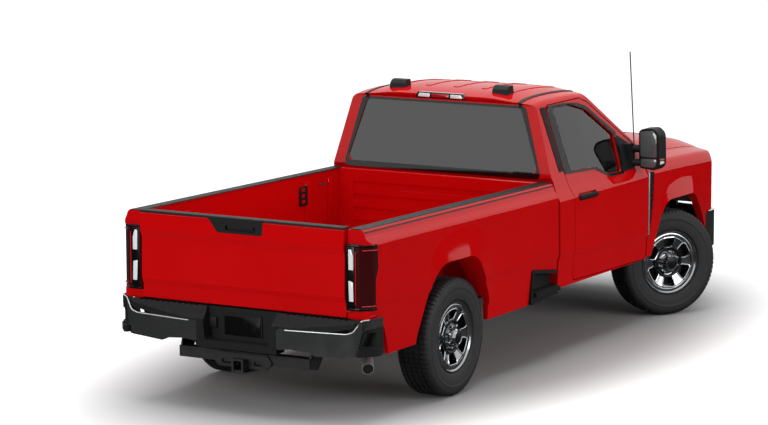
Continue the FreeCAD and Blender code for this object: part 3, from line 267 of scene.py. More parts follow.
# a closed outline, in the two axes other than `axis`, raised into a solid between low and high
def slab(outline, axis, low, high, edge=0.0, side=1):
    form = bmesh.new()
    k = "xyz".index(axis)
    spots = []
    for a, b in outline:
        place = [a, b]
        place.insert(k, low)
        spots.append(form.verts.new(Vector(place) * mm))
    face = form.faces.new(spots)
    raised = bmesh.ops.extrude_face_region(form, geom=[face])
    lift = Vector((0, 0, 0))
    lift[k] = (high - low) * mm
    bmesh.ops.translate(form, verts=[v for v in raised["geom"] if isinstance(v, bmesh.types.BMVert)], vec=lift)
    bmesh.ops.recalc_face_normals(form, faces=form.faces[:])
    if edge:
        rims = [e for e in form.edges if abs((e.verts[0].co - e.verts[1].co)[k]) < 1e-7]
        bmesh.ops.bevel(form, geom=rims, offset=edge * mm, offset_type="OFFSET", affect="EDGES", segments=2,
                        profile=0.5, material=-1, clamp_overlap=True)
    if side < 0:
        bmesh.ops.scale(form, verts=form.verts[:], vec=(1, -1, 1))
    return form


# a closed profile of (along, radius) pairs turned round the Y axis
def lathe(profile, steps=96, closed=True):
    form = bmesh.new()
    spots = [form.verts.new(Vector((0, along, radius)) * mm) for along, radius in profile]
    pairs = list(zip(spots, spots[1:])) + ([(spots[-1], spots[0])] if closed else [])
    edges = [form.edges.new(pair) for pair in pairs]
    bmesh.ops.spin(form, geom=spots + edges, cent=(0, 0, 0), axis=(0, 1, 0), dvec=(0, 0, 0), angle=math.tau,
                   steps=steps, use_merge=True)
    bmesh.ops.remove_doubles(form, verts=form.verts[:], dist=1e-6)
    bmesh.ops.recalc_face_normals(form, faces=form.faces[:])
    return form


# a round bar along points in millimetres, made as a curve and taken as a mesh
def bar(points, radius, closed=False):
    data = bpy.data.curves.new("bar", "CURVE")
    data.dimensions = "3D"
    data.bevel_depth = radius * mm
    data.bevel_resolution = 2
    data.use_fill_caps = not closed
    line = data.splines.new("POLY")
    line.points.add(len(points) - 1)
    for spot, place in zip(line.points, points):
        spot.co = (*(Vector(place) * mm), 1)
    line.use_cyclic_u = closed
    guide = bpy.data.objects.new("bar", data)
    mesh = guide.to_mesh()
    form = bmesh.new()
    form.from_mesh(mesh)
    guide.to_mesh_clear()
    bpy.data.objects.remove(guide)
    bpy.data.curves.remove(data)
    bmesh.ops.remove_doubles(form, verts=form.verts[:], dist=1e-6)
    return form


def joined(forms, turn=None):  # several forms as one, moved by a matrix
    whole = bmesh.new()
    for form in forms:
        step = bpy.data.meshes.new("step")
        form.to_mesh(step)
        form.free()
        whole.from_mesh(step)
        bpy.data.meshes.remove(step)
    if turn is not None:
        bmesh.ops.transform(whole, matrix=turn, verts=whole.verts[:])
    return whole


def addPiece(name, form, material, body="chassis", angle=35):  # the form becomes an object that rides on a body
    bmesh.ops.recalc_face_normals(form, faces=form.faces[:])
    name = name.replace(" ", "_").replace("-", "_")
    mesh = bpy.data.meshes.new(name)
    form.to_mesh(mesh)
    form.free()
    mesh.materials.append(material)
    for polygon in mesh.polygons:
        polygon.use_smooth = True
    mesh.set_sharp_from_angle(angle=math.radians(angle))
    piece = bpy.data.objects.new(name, mesh)
    bpy.context.scene.collection.objects.link(piece)
    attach(piece, body)
    return piece


def surfaceOf(*names):  # the outer faces of CAD nodes, for pieces that lie on them
    spots, faces = [], []
    for name in names:
        node = nodes[name]
        start = len(spots)
        spots += [node.matrix_world @ v.co for v in node.data.vertices]
        faces += [[start + i for i in polygon.vertices] for polygon in node.data.polygons]
    return BVHTree.FromPolygons(spots, faces)


# how far out, in metres, the surface lies at x and z, seen from that side
def sideReach(surface, x, z, side):
    reaches = []
    for across, up in ((0, 0), (0.009, 0), (-0.009, 0), (0, 0.009), (0, -0.009)):  # near an edge, the face beside it
        hit = surface.ray_cast(Vector((x + across, side * 1.6, z + up)), Vector((0, -side, 0)), 0.95)
        if hit[0] is not None:
            reaches.append(abs(hit[0].y))
    return max(reaches) if reaches else abs(surface.find_nearest(Vector((x, side * 0.98, z)))[0].y)


# a thin sheet that follows the side of the body inside an outline of (x, z), with holes
def skinSheet(outline, holes, surface, lift, thick, side, cell=45):
    form = bmesh.new()
    for loop in [outline] + holes:
        spots = [form.verts.new(Vector((x, 0, z)) * mm) for x, z in loop]
        for a, b in zip(spots, spots[1:] + spots[:1]):
            form.edges.new((a, b))
    bmesh.ops.remove_doubles(form, verts=form.verts[:], dist=1e-6)
    bmesh.ops.triangle_fill(form, use_beauty=True, use_dissolve=False, edges=form.edges[:])
    for _ in range(4):
        longOnes = [e for e in form.edges if e.calc_length() > cell * mm]
        if not longOnes:
            break
        bmesh.ops.subdivide_edges(form, edges=longOnes, cuts=1)
        bmesh.ops.triangulate(form, faces=form.faces[:])
    for v in form.verts:
        v.co.y = side * (sideReach(surface, v.co.x, v.co.z, side) + lift * mm)
    bmesh.ops.recalc_face_normals(form, faces=form.faces[:])
    if sum(f.normal.y for f in form.faces) * side < 0:
        bmesh.ops.reverse_faces(form, faces=form.faces[:])
    bmesh.ops.solidify(form, geom=form.faces[:], thickness=thick * mm)
    return form


wheels = {
    "radius": 420.6, "treadFloor": 411.0, "blocks": 72, "steer": -32.0,  # millimetres and degrees
    "places": {  # hub centres in metres, and the side of the truck
        "front_left": ((2.00926, 0.86562, 0.421), 1), "front_right": ((1.96474, -0.86562, 0.421), -1),
        "rear_left": ((-1.61, 0.85, 0.421), 1), "rear_right": ((-1.61, -0.85, 0.421), -1),
    },
    "spare": (-2.32, 0.0, 0.58),
}


def tyreForm():  # carcass with rings on its side walls, and the blocks of the road tread
    top, floor = wheels["radius"], wheels["treadFloor"]
    half = [(103.6, 237.4), (103.6, 253.2), (110, 261), (116, 263), (119, 268), (122, 270), (126, 293), (129.6, 331),
            (128, 346), (129.2, 348), (129.2, 352), (127, 354), (124, 378), (121, 392), (112, 404), (98, floor),
            (68, floor), (65, floor - 1), (60, floor - 1), (57, floor), (30, floor), (26, floor - 1), (18, floor - 1),
            (15, floor)]
    inner = [(90, 400), (108, 380), (114, 331), (106, 270), (94, 237.4)]
    carcass = lathe([(-a, r) for a, r in half] + half[::-1] + inner[::-1] + [(-a, r) for a, r in inner], 120)
    pitch = math.tau * top / wheels["blocks"]
    shoulder = [(70, 408), (70, top), (98, top - 1.2), (112, top - 8), (122.5, 391), (117, 391), (104, 404)]
    blocks = []
    for side in (1, -1):
        outline = [(side * a, r) for a, r in shoulder]
        blocks.append(slab(outline, "x", -pitch * 0.4, pitch * 0.4))
        middle = [(-pitch * 0.42, side * 31), (pitch * 0.36, side * 29), (pitch * 0.42, side * 56),
                  (-pitch * 0.36, side * 58)]
        blocks.append(slab(middle, "z", 408, top))
    crown = [(-pitch * 0.4, -14), (pitch * 0.34, -14), (pitch * 0.4, 14), (-pitch * 0.34, 14)]
    blocks.append(slab(crown, "z", 408, top))
    tread = joined(blocks)
    whole = tread.verts[:] + tread.edges[:] + tread.faces[:]
    count = wheels["blocks"]
    bmesh.ops.spin(tread, geom=whole, cent=(0, 0, 0), axis=(0, 1, 0), dvec=(0, 0, 0), steps=count - 1,
                   angle=math.tau * (count - 1) / count, use_duplicate=True)
    return joined([carcass, tread])


rims = {  # millimetres: (along the axle, from it) in profiles, (across, out) in the openings
    "windows": 6, "windowCorners": [(-38, 119), (38, 119), (72, 199), (-72, 199)], "windowRadii": [20, 20, 28, 28],
    "faceAt": 79, "faceFrom": 114, "faceSlope": 0.262, "lipRadius": 6.2,
    "nuts": 8, "nutCircle": 80, "nutPlace": 107,
    "capRing": [(132, 47), (141, 46), (145, 48.5), (145, 51), (141, 53), (130, 54)],
    "flangeStep": [(100, 208), (104, 209), (107, 226), (105, 232), (99, 236), (97, 210)],
    "cap": [(130, 0), (130, 46), (143, 45), (146.5, 36), (148, 0)],
    "capFoot": [(96, 118), (96, 112), (90, 100), (88.4, 99), (88.4, 118)],
    "brakeDisc": [(0, 96), (22, 96), (22, 188), (0, 188)],
}


def windowLip(k):  # polished lip round one of the openings of a rim
    corners = rounded(rims["windowCorners"], rims["windowRadii"], 5)
    turn = Matrix.Rotation(math.tau * k / rims["windows"], 3, "Y")
    points = [turn @ Vector((x, rims["faceAt"] + (z - rims["faceFrom"]) * rims["faceSlope"], z)) for x, z in corners]
    return bar(points, rims["lipRadius"], closed=True)


# a six-sided head whose axis lies across the truck
def hexHead(foot, top, height, quarterTurns, edge=0.0):
    head = bmesh.new()
    bmesh.ops.create_cone(head, cap_ends=True, segments=6, radius1=foot * mm, radius2=top * mm, depth=height * mm)
    if edge:
        bmesh.ops.bevel(head, geom=head.edges[:], offset=edge * mm, offset_type="OFFSET", affect="EDGES",
                        segments=1, profile=0.5, material=-1)
    bmesh.ops.rotate(head, verts=head.verts[:], cent=(0, 0, 0),
                     matrix=Matrix.Rotation(quarterTurns * math.pi / 2, 3, "X"))
    return head


def rimTrim(side):  # lips, lug nuts and the ringed cap, all on the outer face, and the brake disc behind
    outward = Matrix.Scale(side, 4, (0, 1, 0))
    nuts = []
    for k in range(rims["nuts"]):
        angle = math.tau * (k + 0.5) / rims["nuts"]
        place = Vector((rims["nutCircle"] * math.sin(angle), rims["nutPlace"], rims["nutCircle"] * math.cos(angle)))
        nut = hexHead(12.5, 10.5, 24, -1, 1.8)
        bmesh.ops.translate(nut, verts=nut.verts[:], vec=place * mm)
        nuts.append(nut)
    lips = [windowLip(k) for k in range(rims["windows"])]
    bright = joined(lips + nuts + [lathe(rims["capRing"], 48), lathe(rims["flangeStep"], 96)], outward)
    cap = joined([lathe(rims["cap"], 48, closed=False), lathe(rims["capFoot"], 48)], outward)
    return bright, cap, joined([lathe(rims["brakeDisc"], 64)], outward)


hubBlack = grainedPlastic("black painted hub cap", "#141415", 0.3, 12)
brightRim = polishedAlloy("bright polished aluminium", "#c3c6c9")
for corner, (centre, side) in wheels["places"].items():
    steer = wheels["steer"] if corner.startswith("front") else 0.0
    place = Matrix.Translation(centre) @ Matrix.Rotation(math.radians(steer), 4, "Z")
    tyrePiece = addPiece("tyre " + corner.replace("_", " "), joined([tyreForm()], place), finishes["tyre"],
                         "wheel_" + corner, 40)
    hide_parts("tyre_" + corner)
    trims = zip(rimTrim(side), ("rim trim ", "hub cap ", "brake disc "), (brightRim, hubBlack, finishes["cast_metal"]))
    for part, name, material in trims:
        addPiece(name + corner.replace("_", " "), joined([part], place), material, "wheel_" + corner)
flat = Matrix.Translation(wheels["spare"]) @ Matrix.Rotation(math.pi / 2, 4, "X")
sparePiece = addPiece("spare tyre tread", joined([tyreForm()], flat), finishes["tyre"], "chassis", 40)
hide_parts("spare_tyre")
print("wheels dressed")


flares = {  # wheel arch swellings: (x, z) corners of the arch, x from the axle, in millimetres
    "front": {"axle": 1987.0, "corners": [(-497, 300), (-493, 492), (-279, 949), (223, 949), (487, 637), (499, 300)],
              "radii": [0, 150, 190, 150, 100, 0], "node": "front_fenders", "lowest": 700.0, "reach": 186.0},
    "rear": {"axle": -1610.0, "corners": [(-573, 300), (-569, 512), (-313, 988), (217, 988), (455, 632), (467, 300)],
             "radii": [0, 260, 240, 240, 200, 0], "node": "bedsides", "lowest": 690.0, "reach": 218.0},
    "swell": 31.0, "alongSteps": 72, "acrossSteps": 8,
}


def archLine(arch, count):  # evenly spaced points up one leg of the arch, over the top and down the other
    corners = [(arch["axle"] + x, z) for x, z in arch["corners"]]
    line = [Vector(p) for p in rounded(corners, arch["radii"], 8)]
    line = line[:-1] if (line[0] - line[-1]).length < 1 else line
    line = [p for p in line if p.y >= arch["lowest"] - 120]
    lengths = [0.0]
    for a, b in zip(line, line[1:]):
        lengths.append(lengths[-1] + (b - a).length)
    points = []
    for k in range(count + 1):
        goal = lengths[-1] * k / count
        i = max(j for j in range(len(line) - 1) if lengths[j] <= goal + 1e-6)
        share = (goal - lengths[i]) / max(1e-6, lengths[i + 1] - lengths[i])
        points.append(line[i].lerp(line[i + 1], min(1.0, share)))
    return points


def flareForm(arch, surface, side):  # a sheet that swells from the panel towards the arch's lip
    along, across = flares["alongSteps"], flares["acrossSteps"]
    line = archLine(arch, along)
    middle = Vector((arch["axle"] - 30, 560))
    form = bmesh.new()
    bmesh.ops.create_grid(form, x_segments=along, y_segments=across + 1, size=1)
    for v in form.verts:
        k = round((v.co.x + 1) / 2 * along)
        s = round((v.co.y + 1) / 2 * (across + 1)) - 1  # -1 is the lip turned inwards
        away = (line[k] - middle).normalized()
        fade = math.sin(math.pi * k / along) ** 0.55
        out = max(0, s) / across
        spot = line[k] + away * (arch["reach"] * fade * out + 0.6)
        probe = line[k] + away * (arch["reach"] * fade * out + 9)
        reach = sideReach(surface, probe.x * mm, probe.y * mm, side) * 1000
        lift = flares["swell"] * fade * (1 - out) ** 1.1
        y = reach + 0.4 + lift if s >= 0 else reach - 12
        v.co = Vector((spot.x, side * y, spot.y)) * mm
    bmesh.ops.recalc_face_normals(form, faces=form.faces[:])
    if sum(f.normal.y for f in form.faces) * side < 0:
        bmesh.ops.reverse_faces(form, faces=form.faces[:])
    bmesh.ops.solidify(form, geom=form.faces[:], thickness=1.2 * mm)
    return form


for name in ("front", "rear"):
    archSurface = surfaceOf(flares[name]["node"])
    for side, sideName in ((1, "left"), (-1, "right")):
        piece = addPiece("%s arch flare %s" % (name, sideName), flareForm(flares[name], archSurface, side),
                         finishes["paint"], angle=50)
print("arch flares on")


doorTrim = {  # outlines are (x, z) in millimetres, seen from the side; depths are two distances from the middle
    "sealOuter": [(124, 1352), (78, 1855), (377, 1850), (584, 1829), (704, 1796), (957, 1642), (1096, 1556),
                  (1062, 1244), (822, 1250), (612, 1328)],
    "sealRadii": [8, 8, 260, 200, 120, 40, 12, 20, 80, 80],
    "glass": [(222, 1366), (176, 1834), (480, 1826), (700, 1768), (1052, 1540), (1024, 1262), (826, 1270),
              (622, 1346)],
    "glassRadii": [30, 45, 260, 160, 25, 25, 80, 80], "coverLift": 2.2, "coverThick": 1.4,
    "handle": [(236, 1148), (236, 1184), (532, 1178), (532, 1144)], "handleDepth": (994, 1019),
    "pivot": [(246, 1152), (246, 1181), (296, 1180), (296, 1151)], "pivotDepth": (1000, 1021),
    "pull": [(420, 1040), (420, 1075), (800, 1075), (800, 1040)], "pullDepth": (876, 911.6),
    "pocket": [(380, 640), (400, 780), (980, 800), (1000, 640)], "pocketDepth": (880, 911.6),
    "ventStrip": [(1429, 712), (1429, 1203), (1447, 1202), (1445, 900), (1440, 712)], "ventDepth": (990, 1002.5),
}
for side, sideName in ((1, "left"), (-1, "right")):
    doorBody = "door_" + sideName
    doorSurface = surfaceOf("door_" + sideName)
    ring = skinSheet(rounded(doorTrim["sealOuter"], doorTrim["sealRadii"], 5),
                     [rounded(doorTrim["glass"], doorTrim["glassRadii"], 5)], doorSurface, doorTrim["coverLift"],
                     doorTrim["coverThick"], side)
    addPiece("door frame cover " + sideName, ring, glossBlack, doorBody)
    handle = slab(rounded(doorTrim["handle"], 15, 4), "y", *doorTrim["handleDepth"], 5, side)
    pivot = slab(rounded(doorTrim["pivot"], 8, 3), "y", *doorTrim["pivotDepth"], 2, side)
    addPiece("door handle " + sideName, joined([handle, pivot]), finishes["black_plastic"], doorBody)
    pull = slab(rounded(doorTrim["pull"], 14, 4), "y", *doorTrim["pullDepth"], 5, side)
    pocket = slab(rounded(doorTrim["pocket"], 25, 4), "y", *doorTrim["pocketDepth"], 6, side)
    addPiece("door inner trim " + sideName, joined([pull, pocket]), finishes["dash_plastic"], doorBody)
    lip = slab(doorTrim["ventStrip"], "y", *doorTrim["ventDepth"], 2, side)
    addPiece("vent strip " + sideName, lip, brightTrimAndHighlight)
print("doors dressed")


mirrors = {  # (y, z) of the two glasses and the bar between them, (x, z) of the lamps on the housing's side
    "upper": [(1016, 1352), (1012, 1546), (1112, 1558), (1148, 1524), (1152, 1352)],
    "lower": [(1018, 1276), (1017, 1338), (1153, 1338), (1148, 1292), (1128, 1270)],
    "divider": [(1012, 1340), (1012, 1350), (1158, 1350), (1158, 1340)],
    "sideLamp": [(1262, 1296), (1268, 1322), (1340, 1314), (1340, 1298)],
    "turnSignal": [(1262, 1328), (1266, 1342), (1340, 1332), (1340, 1320)],
    "glassDepth": (1243.6, 1247), "dividerDepth": (1242, 1247), "sideDepth": (1160, 1173.8),
}
for side, sideName in ((1, "left"), (-1, "right")):
    doorBody = "door_" + sideName
    faces = [slab(rounded(mirrors[k], 14, 4), "x", *mirrors["glassDepth"], 1, side) for k in ("upper", "lower")]
    # the mirror glass's even grey is a painted reflection of the pale studio
    addPiece("mirror glass " + sideName, joined(faces), mirrorPaintedReflection, doorBody)
    divider = slab(rounded(mirrors["divider"], 3, 2), "x", *mirrors["dividerDepth"], 1, side)
    addPiece("mirror divider " + sideName, divider, finishes["black_plastic"], doorBody)
    strip = slab(rounded(mirrors["sideLamp"], 5, 3), "y", *mirrors["sideDepth"], 2, side)
    addPiece("mirror side lamp " + sideName, strip, clearReflector, doorBody)
    marker = slab(rounded(mirrors["turnSignal"], 4, 3), "y", *mirrors["sideDepth"], 1.5, side)
    addPiece("mirror turn signal " + sideName, marker, amberSignal, doorBody)
print("mirrors dressed")


tailLamps = {  # (y, z) outlines on the rear face at x `face`; guides are (x, y, z) lines of light in the lens
    "face": -2869.0, "band": [(833, 818), (833, 1240), (896, 1240), (896, 818)],
    "capPlan": [(-2750, 829), (-2870.6, 829), (-2863, 931), (-2794, 1004), (-2750, 1004)],
    "capFeet": (804.5, 1236), "capHeight": 16, "guideRadius": 4,
    "guides": [[(-2872, 906, 846), (-2872, 906, 1206)],
               [(-2858, 948, 1216), (-2800, 1002, 1216), (-2756, 1006, 1214)],
               [(-2858, 948, 836), (-2800, 1002, 836), (-2784, 1006, 838)]],
    "reversing": [[(852, 1082), (850, 1222), (872, 1222), (888, 1170), (888, 1082)],
                  [(856, 868), (850, 1010), (886, 1000), (890, 868)]],
}
headlamps = {"face": 2868.0, "bezel": [(614, 810), (614, 1142), (760, 1142), (760, 810)],
             "beamFeet": (850, 1010), "beamHeight": 92, "beamSides": (640, 742)}
for side, sideName in ((1, "left"), (-1, "right")):
    x = tailLamps["face"]
    band = slab(rounded(tailLamps["band"], 8, 3), "x", x - 2, x + 6, 1, side)
    capPlan = rounded(tailLamps["capPlan"], [0, 8, 30, 30, 0], 4)
    caps = [slab(capPlan, "z", foot, foot + tailLamps["capHeight"], 2, side) for foot in tailLamps["capFeet"]]
    addPiece("tail lamp housing " + sideName, joined([band] + caps), glossBlack)
    guides = [bar([Vector((a, side * b, c)) for a, b, c in guide], tailLamps["guideRadius"])
              for guide in tailLamps["guides"]]
    addPiece("tail lamp guides " + sideName, joined(guides), redSignal)
    panes = [slab(rounded(outline, 6, 3), "x", x - 4, x, 1.5, side) for outline in tailLamps["reversing"]]
    addPiece("reversing lamps " + sideName, joined(panes), clearReflector)
    x = headlamps["face"]
    bezel = slab(rounded(headlamps["bezel"], 20, 4), "x", x - 6, x + 3, 3, side)
    addPiece("headlamp bezel " + sideName, bezel, glossBlack)
    inner, outer = headlamps["beamSides"]
    beams = []
    for foot in headlamps["beamFeet"]:
        top = foot + headlamps["beamHeight"]
        outline = rounded([(inner, foot), (inner, top), (outer, top), (outer, foot)], 22, 5)
        beams.append(slab(outline, "x", x, x + 7, 3, side))
    addPiece("headlamp projectors " + sideName, joined(beams), clearReflector)

highLamp = {"face": -96.0, "frame": [(-214, 1889), (-188, 1927), (188, 1927), (214, 1889)],
            "stop": [(-74, 1894), (-74, 1921), (74, 1921), (74, 1894)],
            "cargo": [(88, 1894), (88, 1921), (178, 1921), (192, 1894)]}
x = highLamp["face"]
addPiece("high lamp frame", slab(rounded(highLamp["frame"], 6, 3), "x", x - 1.5, x + 4, 1), glossBlack)
addPiece("high stop lamp", slab(rounded(highLamp["stop"], 5, 3), "x", x - 3.6, x, 1), redSignal)
cargo = [slab(rounded(highLamp["cargo"], 6, 3), "x", x - 3.6, x, 1, side) for side in (1, -1)]
addPiece("cargo lamps", joined(cargo), clearReflector)
print("lamps dressed")


rearGlass = {  # (y, z) of the black edge round the rear window, on a wall that leans forward as it rises
    "outer": [(848, 1330), (698, 1863), (-698, 1863), (-848, 1330)], "outerRadius": 45,
    "inner": [(820, 1370), (659, 1846), (-659, 1846), (-820, 1370)], "innerRadius": 40,
    "foot": -88.0, "footHeight": 1346.0, "lean": 42 / 526, "proud": 2.6, "thick": 2.2,
}


def rearWindowEdge():
    band = bmesh.new()
    for name in ("outer", "inner"):
        outline = rounded(rearGlass[name], rearGlass[name + "Radius"], 5)
        spots = [band.verts.new(Vector((0, y, z)) * mm) for y, z in outline]
        for a, b in zip(spots, spots[1:] + spots[:1]):
            band.edges.new((a, b))
    bmesh.ops.triangle_fill(band, use_beauty=True, use_dissolve=False, edges=band.edges[:])
    for v in band.verts:
        wall = rearGlass["foot"] + (v.co.z / mm - rearGlass["footHeight"]) * rearGlass["lean"]
        v.co.x = (wall - rearGlass["proud"]) * mm
    bmesh.ops.recalc_face_normals(band, faces=band.faces[:])
    if sum(f.normal.x for f in band.faces) > 0:
        bmesh.ops.reverse_faces(band, faces=band.faces[:])
    bmesh.ops.solidify(band, geom=band.faces[:], thickness=rearGlass["thick"] * mm)
    return band


addPiece("rear window edge", rearWindowEdge(), edgeGlass())
print("rear window edged")


bedFittings = {  # on the bed's inner walls: (x, z) outlines, depths as distances from the middle
    "bracket": [(-737, 1090), (-737, 1236), (-640, 1240), (-628, 1232), (-628, 1090)], "bracketDepth": (838, 849.6),
    "windowFeet": [1112, 1156, 1200], "windowSides": (-712, -674), "windowHeight": 26, "windowDepth": (836.6, 840),
    "ribs": [-290, -620, -2250], "ribFoot": 836, "ribTop": 1270, "ribDepth": (842, 849.6),  # clear of the wheelhouses
    "loops": (-420, -2480), "loopRadius": 5,
    "flange": [(-150, 1296), (-150, 1318), (-104, 1318), (-104, 1296)], "flangeHalf": 836,  # across the front wall
}
for side, sideName in ((1, "left"), (-1, "right")):
    plate = slab(rounded(bedFittings["bracket"], 6, 3), "y", *bedFittings["bracketDepth"], 2, side)
    addPiece("bed wall bracket " + sideName, plate, finishes["black_plastic"])
    rear, fore = bedFittings["windowSides"]
    panes = []
    for foot in bedFittings["windowFeet"]:
        top = foot + bedFittings["windowHeight"]
        outline = rounded([(rear, foot), (rear, top), (fore, top), (fore, foot)], 4, 3)
        panes.append(slab(outline, "y", *bedFittings["windowDepth"], 0.6, side))
    addPiece("bracket windows " + sideName, joined(panes), finishes["paint"])
    foot, top = bedFittings["ribFoot"], bedFittings["ribTop"]
    ribs = [slab(rounded([(x - 45, foot), (x - 30, top), (x + 30, top), (x + 45, foot)], 10, 3), "y",
                 *bedFittings["ribDepth"], 3, side) for x in bedFittings["ribs"]]
    addPiece("bed wall ribs " + sideName, joined(ribs), finishes["paint"])
    hooks = []
    for x in bedFittings["loops"]:
        line = [(x - 32, 846, 1230), (x - 26, 826, 1222), (x + 26, 826, 1222), (x + 32, 846, 1230)]
        hooks.append(bar([Vector((a, side * b, c)) for a, b, c in line], bedFittings["loopRadius"]))
    addPiece("tie-down loops " + sideName, joined(hooks), finishes["chassis_paint"])
flange = slab(rounded(bedFittings["flange"], 5, 3), "y", -bedFittings["flangeHalf"], bedFittings["flangeHalf"], 2)
addPiece("bed front flange", flange, finishes["paint"])
print("bed dressed")


wipers = {"blades": [((1560, 640, 1400), (1470, -60, 1500)), ((1600, 60, 1400), (1480, -640, 1470))],
          "lift": 9, "radius": 7}


def wiperBlade(start, end, surface):  # follows the windscreen from one end of its sweep line to the other
    points = []
    for i in range(13):
        near = surface.find_nearest(Vector(start).lerp(Vector(end), i / 12) * mm)
        outward = near[1] if near[1].z > 0 else -near[1]
        points.append(near[0] * 1000 + outward * wipers["lift"])
    return bar(points, wipers["radius"])


screenSurface = surfaceOf("windscreen")
blades = [wiperBlade(start, end, screenSurface) for start, end in wipers["blades"]]
addPiece("wiper blades", joined(blades), sealRubber)

cabTop = {  # the mast's points are (x, y, z); the gutter is (x, z), and the cabin's pieces are (y, z)
    "mast": [(1740, -722, 1300), (1690, -722, 1745), (1648.4, -722, 2107)], "mastRadius": 5,
    "gutter": [(1812, 1336), (1812, 1342), (1872, 1342), (1872, 1336)], "gutterHalf": 536,
    "screen": [(-130, 1130), (-130, 1236), (130, 1236), (130, 1130)], "screenDepth": (1118, 1150),
    "mirror": [(-120, 1690), (-120, 1752), (120, 1752), (120, 1690)], "mirrorDepth": (1108, 1132),
}
mast = bar([Vector(place) for place in cabTop["mast"]], cabTop["mastRadius"])
addPiece("antenna mast", mast, finishes["black_plastic"])
gutter = slab(cabTop["gutter"], "y", -cabTop["gutterHalf"], cabTop["gutterHalf"], 1)
addPiece("cowl gutter", gutter, finishes["black_plastic"])
screen = slab(rounded(cabTop["screen"], 10, 3), "x", *cabTop["screenDepth"], 3)
addPiece("dashboard screen", screen, glossBlack)
innerMirror = slab(rounded(cabTop["mirror"], 24, 5), "x", *cabTop["mirrorDepth"], 6)
addPiece("inner mirror", innerMirror, finishes["black_plastic"])
print("cabin dressed")


bumper = {  # (y, z) outlines on the bumper's rear faces
    "socket": [(206, 590), (206, 664), (268, 664), (268, 590)], "socketDepth": (-2872, -2846),
    "plate": [(-143, 549), (-143, 687), (143, 687), (143, 549)], "plateDepth": (-2861, -2858),
    "filler": [(842, 640), (842, 742), (984, 742), (984, 700), (930, 640)], "fillerDepth": (-2866, -2862),
    # the bright line is a painted highlight: a bar laid where the bumper's upper edge gleams
    "bead": [(326, 640), (838, 645), (896, 660), (942, 740), (1000, 750)], "beadRadii": [0, 80, 60, 50, 0],
    "beadRadius": 4.2, "beadProud": 1.2, "beadPoints": 8,
}
cover = slab(rounded(bumper["socket"], 14, 4), "x", *bumper["socketDepth"], 5)
addPiece("trailer socket cover", cover, finishes["black_plastic"])
blank = slab(rounded(bumper["plate"], 8, 3), "x", *bumper["plateDepth"], 1)
addPiece("blank number plate", blank, glossBlack)
for side, sideName in ((1, "left"), (-1, "right")):
    filler = slab(bumper["filler"], "x", *bumper["fillerDepth"], 1, side)
    addPiece("bumper corner filler " + sideName, filler, finishes["black_plastic"])

tailpipe = {  # profiles are (along, radius) from the tip, (x, y, z) of the tip and of the bend that it leaves
    "tip": (-2534, -800, 342), "bend": (-2150, -560, 430),
    "sleeve": [(-150, 38.3), (-146, 41.5), (-4, 41.5), (0.5, 40.5), (0.5, 37), (-0.2, 37), (-0.2, 34), (-1.5, 34),
               (-1.5, 38.3)],
    # a black disc across the tip's mouth: painted shade where the inside of the pipe would be seen
    "bore": [(0.2, 0), (0.2, 36.5), (-0.6, 36.5), (-0.6, 0)],
}
run = (Vector(tailpipe["tip"]) - Vector(tailpipe["bend"])).normalized()
toward = Vector((0, 1, 0)).rotation_difference(run).to_matrix().to_4x4()
place = Matrix.Translation(Vector(tailpipe["tip"]) * mm) @ toward
addPiece("tailpipe sleeve", joined([lathe(tailpipe["sleeve"], 48)], place), brightTrimAndHighlight)
# the black disc is painted shade inside the pipe's mouth
addPiece("tailpipe bore", joined([lathe(tailpipe["bore"], 32, closed=False)], place), finishes["chassis_paint"])


def paintedHighlightBead(surface, side):  # painted highlight: a bright bar along the upper edge of the bumper where it gleams, found on its face from behind
    line = rounded(bumper["bead"], bumper["beadRadii"], 6)
    points = []
    for (y0, z0), (y1, z1) in zip(line, line[1:]):
        for i in range(bumper["beadPoints"]):
            share = i / bumper["beadPoints"]
            behind = Vector((-3200, side * (y0 + (y1 - y0) * share), z0 + (z1 - z0) * share))
            hit = surface.ray_cast(behind * mm, Vector((1, 0, 0)), 0.6)
            if hit[0] is not None:
                points.append(hit[0] * 1000 + Vector((bumper["beadProud"], 0, 0)))
    return bar(points, bumper["beadRadius"])


bumperSurface = surfaceOf("rear_bumper")
# the gleam along the bumper's top, painted as a bright bar
addPiece("bumper top bead", joined([paintedHighlightBead(bumperSurface, side) for side in (1, -1)]), brightTrimAndHighlight)

hitchBolts = {"places": ((-2800, 440), (-2640, 640), (-2700, 690), (-2600, 690)), "plateFace": 533}  # (x, z)
bolts = []
for side in (1, -1):
    for x, z in hitchBolts["places"]:
        bolt = hexHead(12, 11, 12, 1)
        bmesh.ops.translate(bolt, verts=bolt.verts[:], vec=Vector((x, side * hitchBolts["plateFace"], z)) * mm)
        bolts.append(bolt)
addPiece("hitch bolts", joined(bolts), finishes["cast_metal"])
print("rear end dressed")


front = {  # tow hooks stand `hookAt` from the middle; fog lamps are (y, z) outlines
    "hookAt": 300.0, "hook": [(2890, -30, 540), (2936, -26, 545), (2940, 0, 546), (2936, 26, 545), (2890, 30, 540)],
    "hookRadius": 9, "fog": [(640, 548), (640, 620), (760, 620), (750, 548)], "fogDepth": (2890, 2916),
}
hookForms, fogForms = [], []
for side in (1, -1):
    middle = Vector((0, side * front["hookAt"], 0))
    hookForms.append(bar([middle + Vector(place) for place in front["hook"]], front["hookRadius"]))
    fogForms.append(slab(rounded(front["fog"], 20, 5), "x", *front["fogDepth"], 4, side))
addPiece("tow hooks", joined(hookForms), finishes["chassis_paint"])
addPiece("fog lamps", joined(fogForms), clearReflector)
print("front dressed")


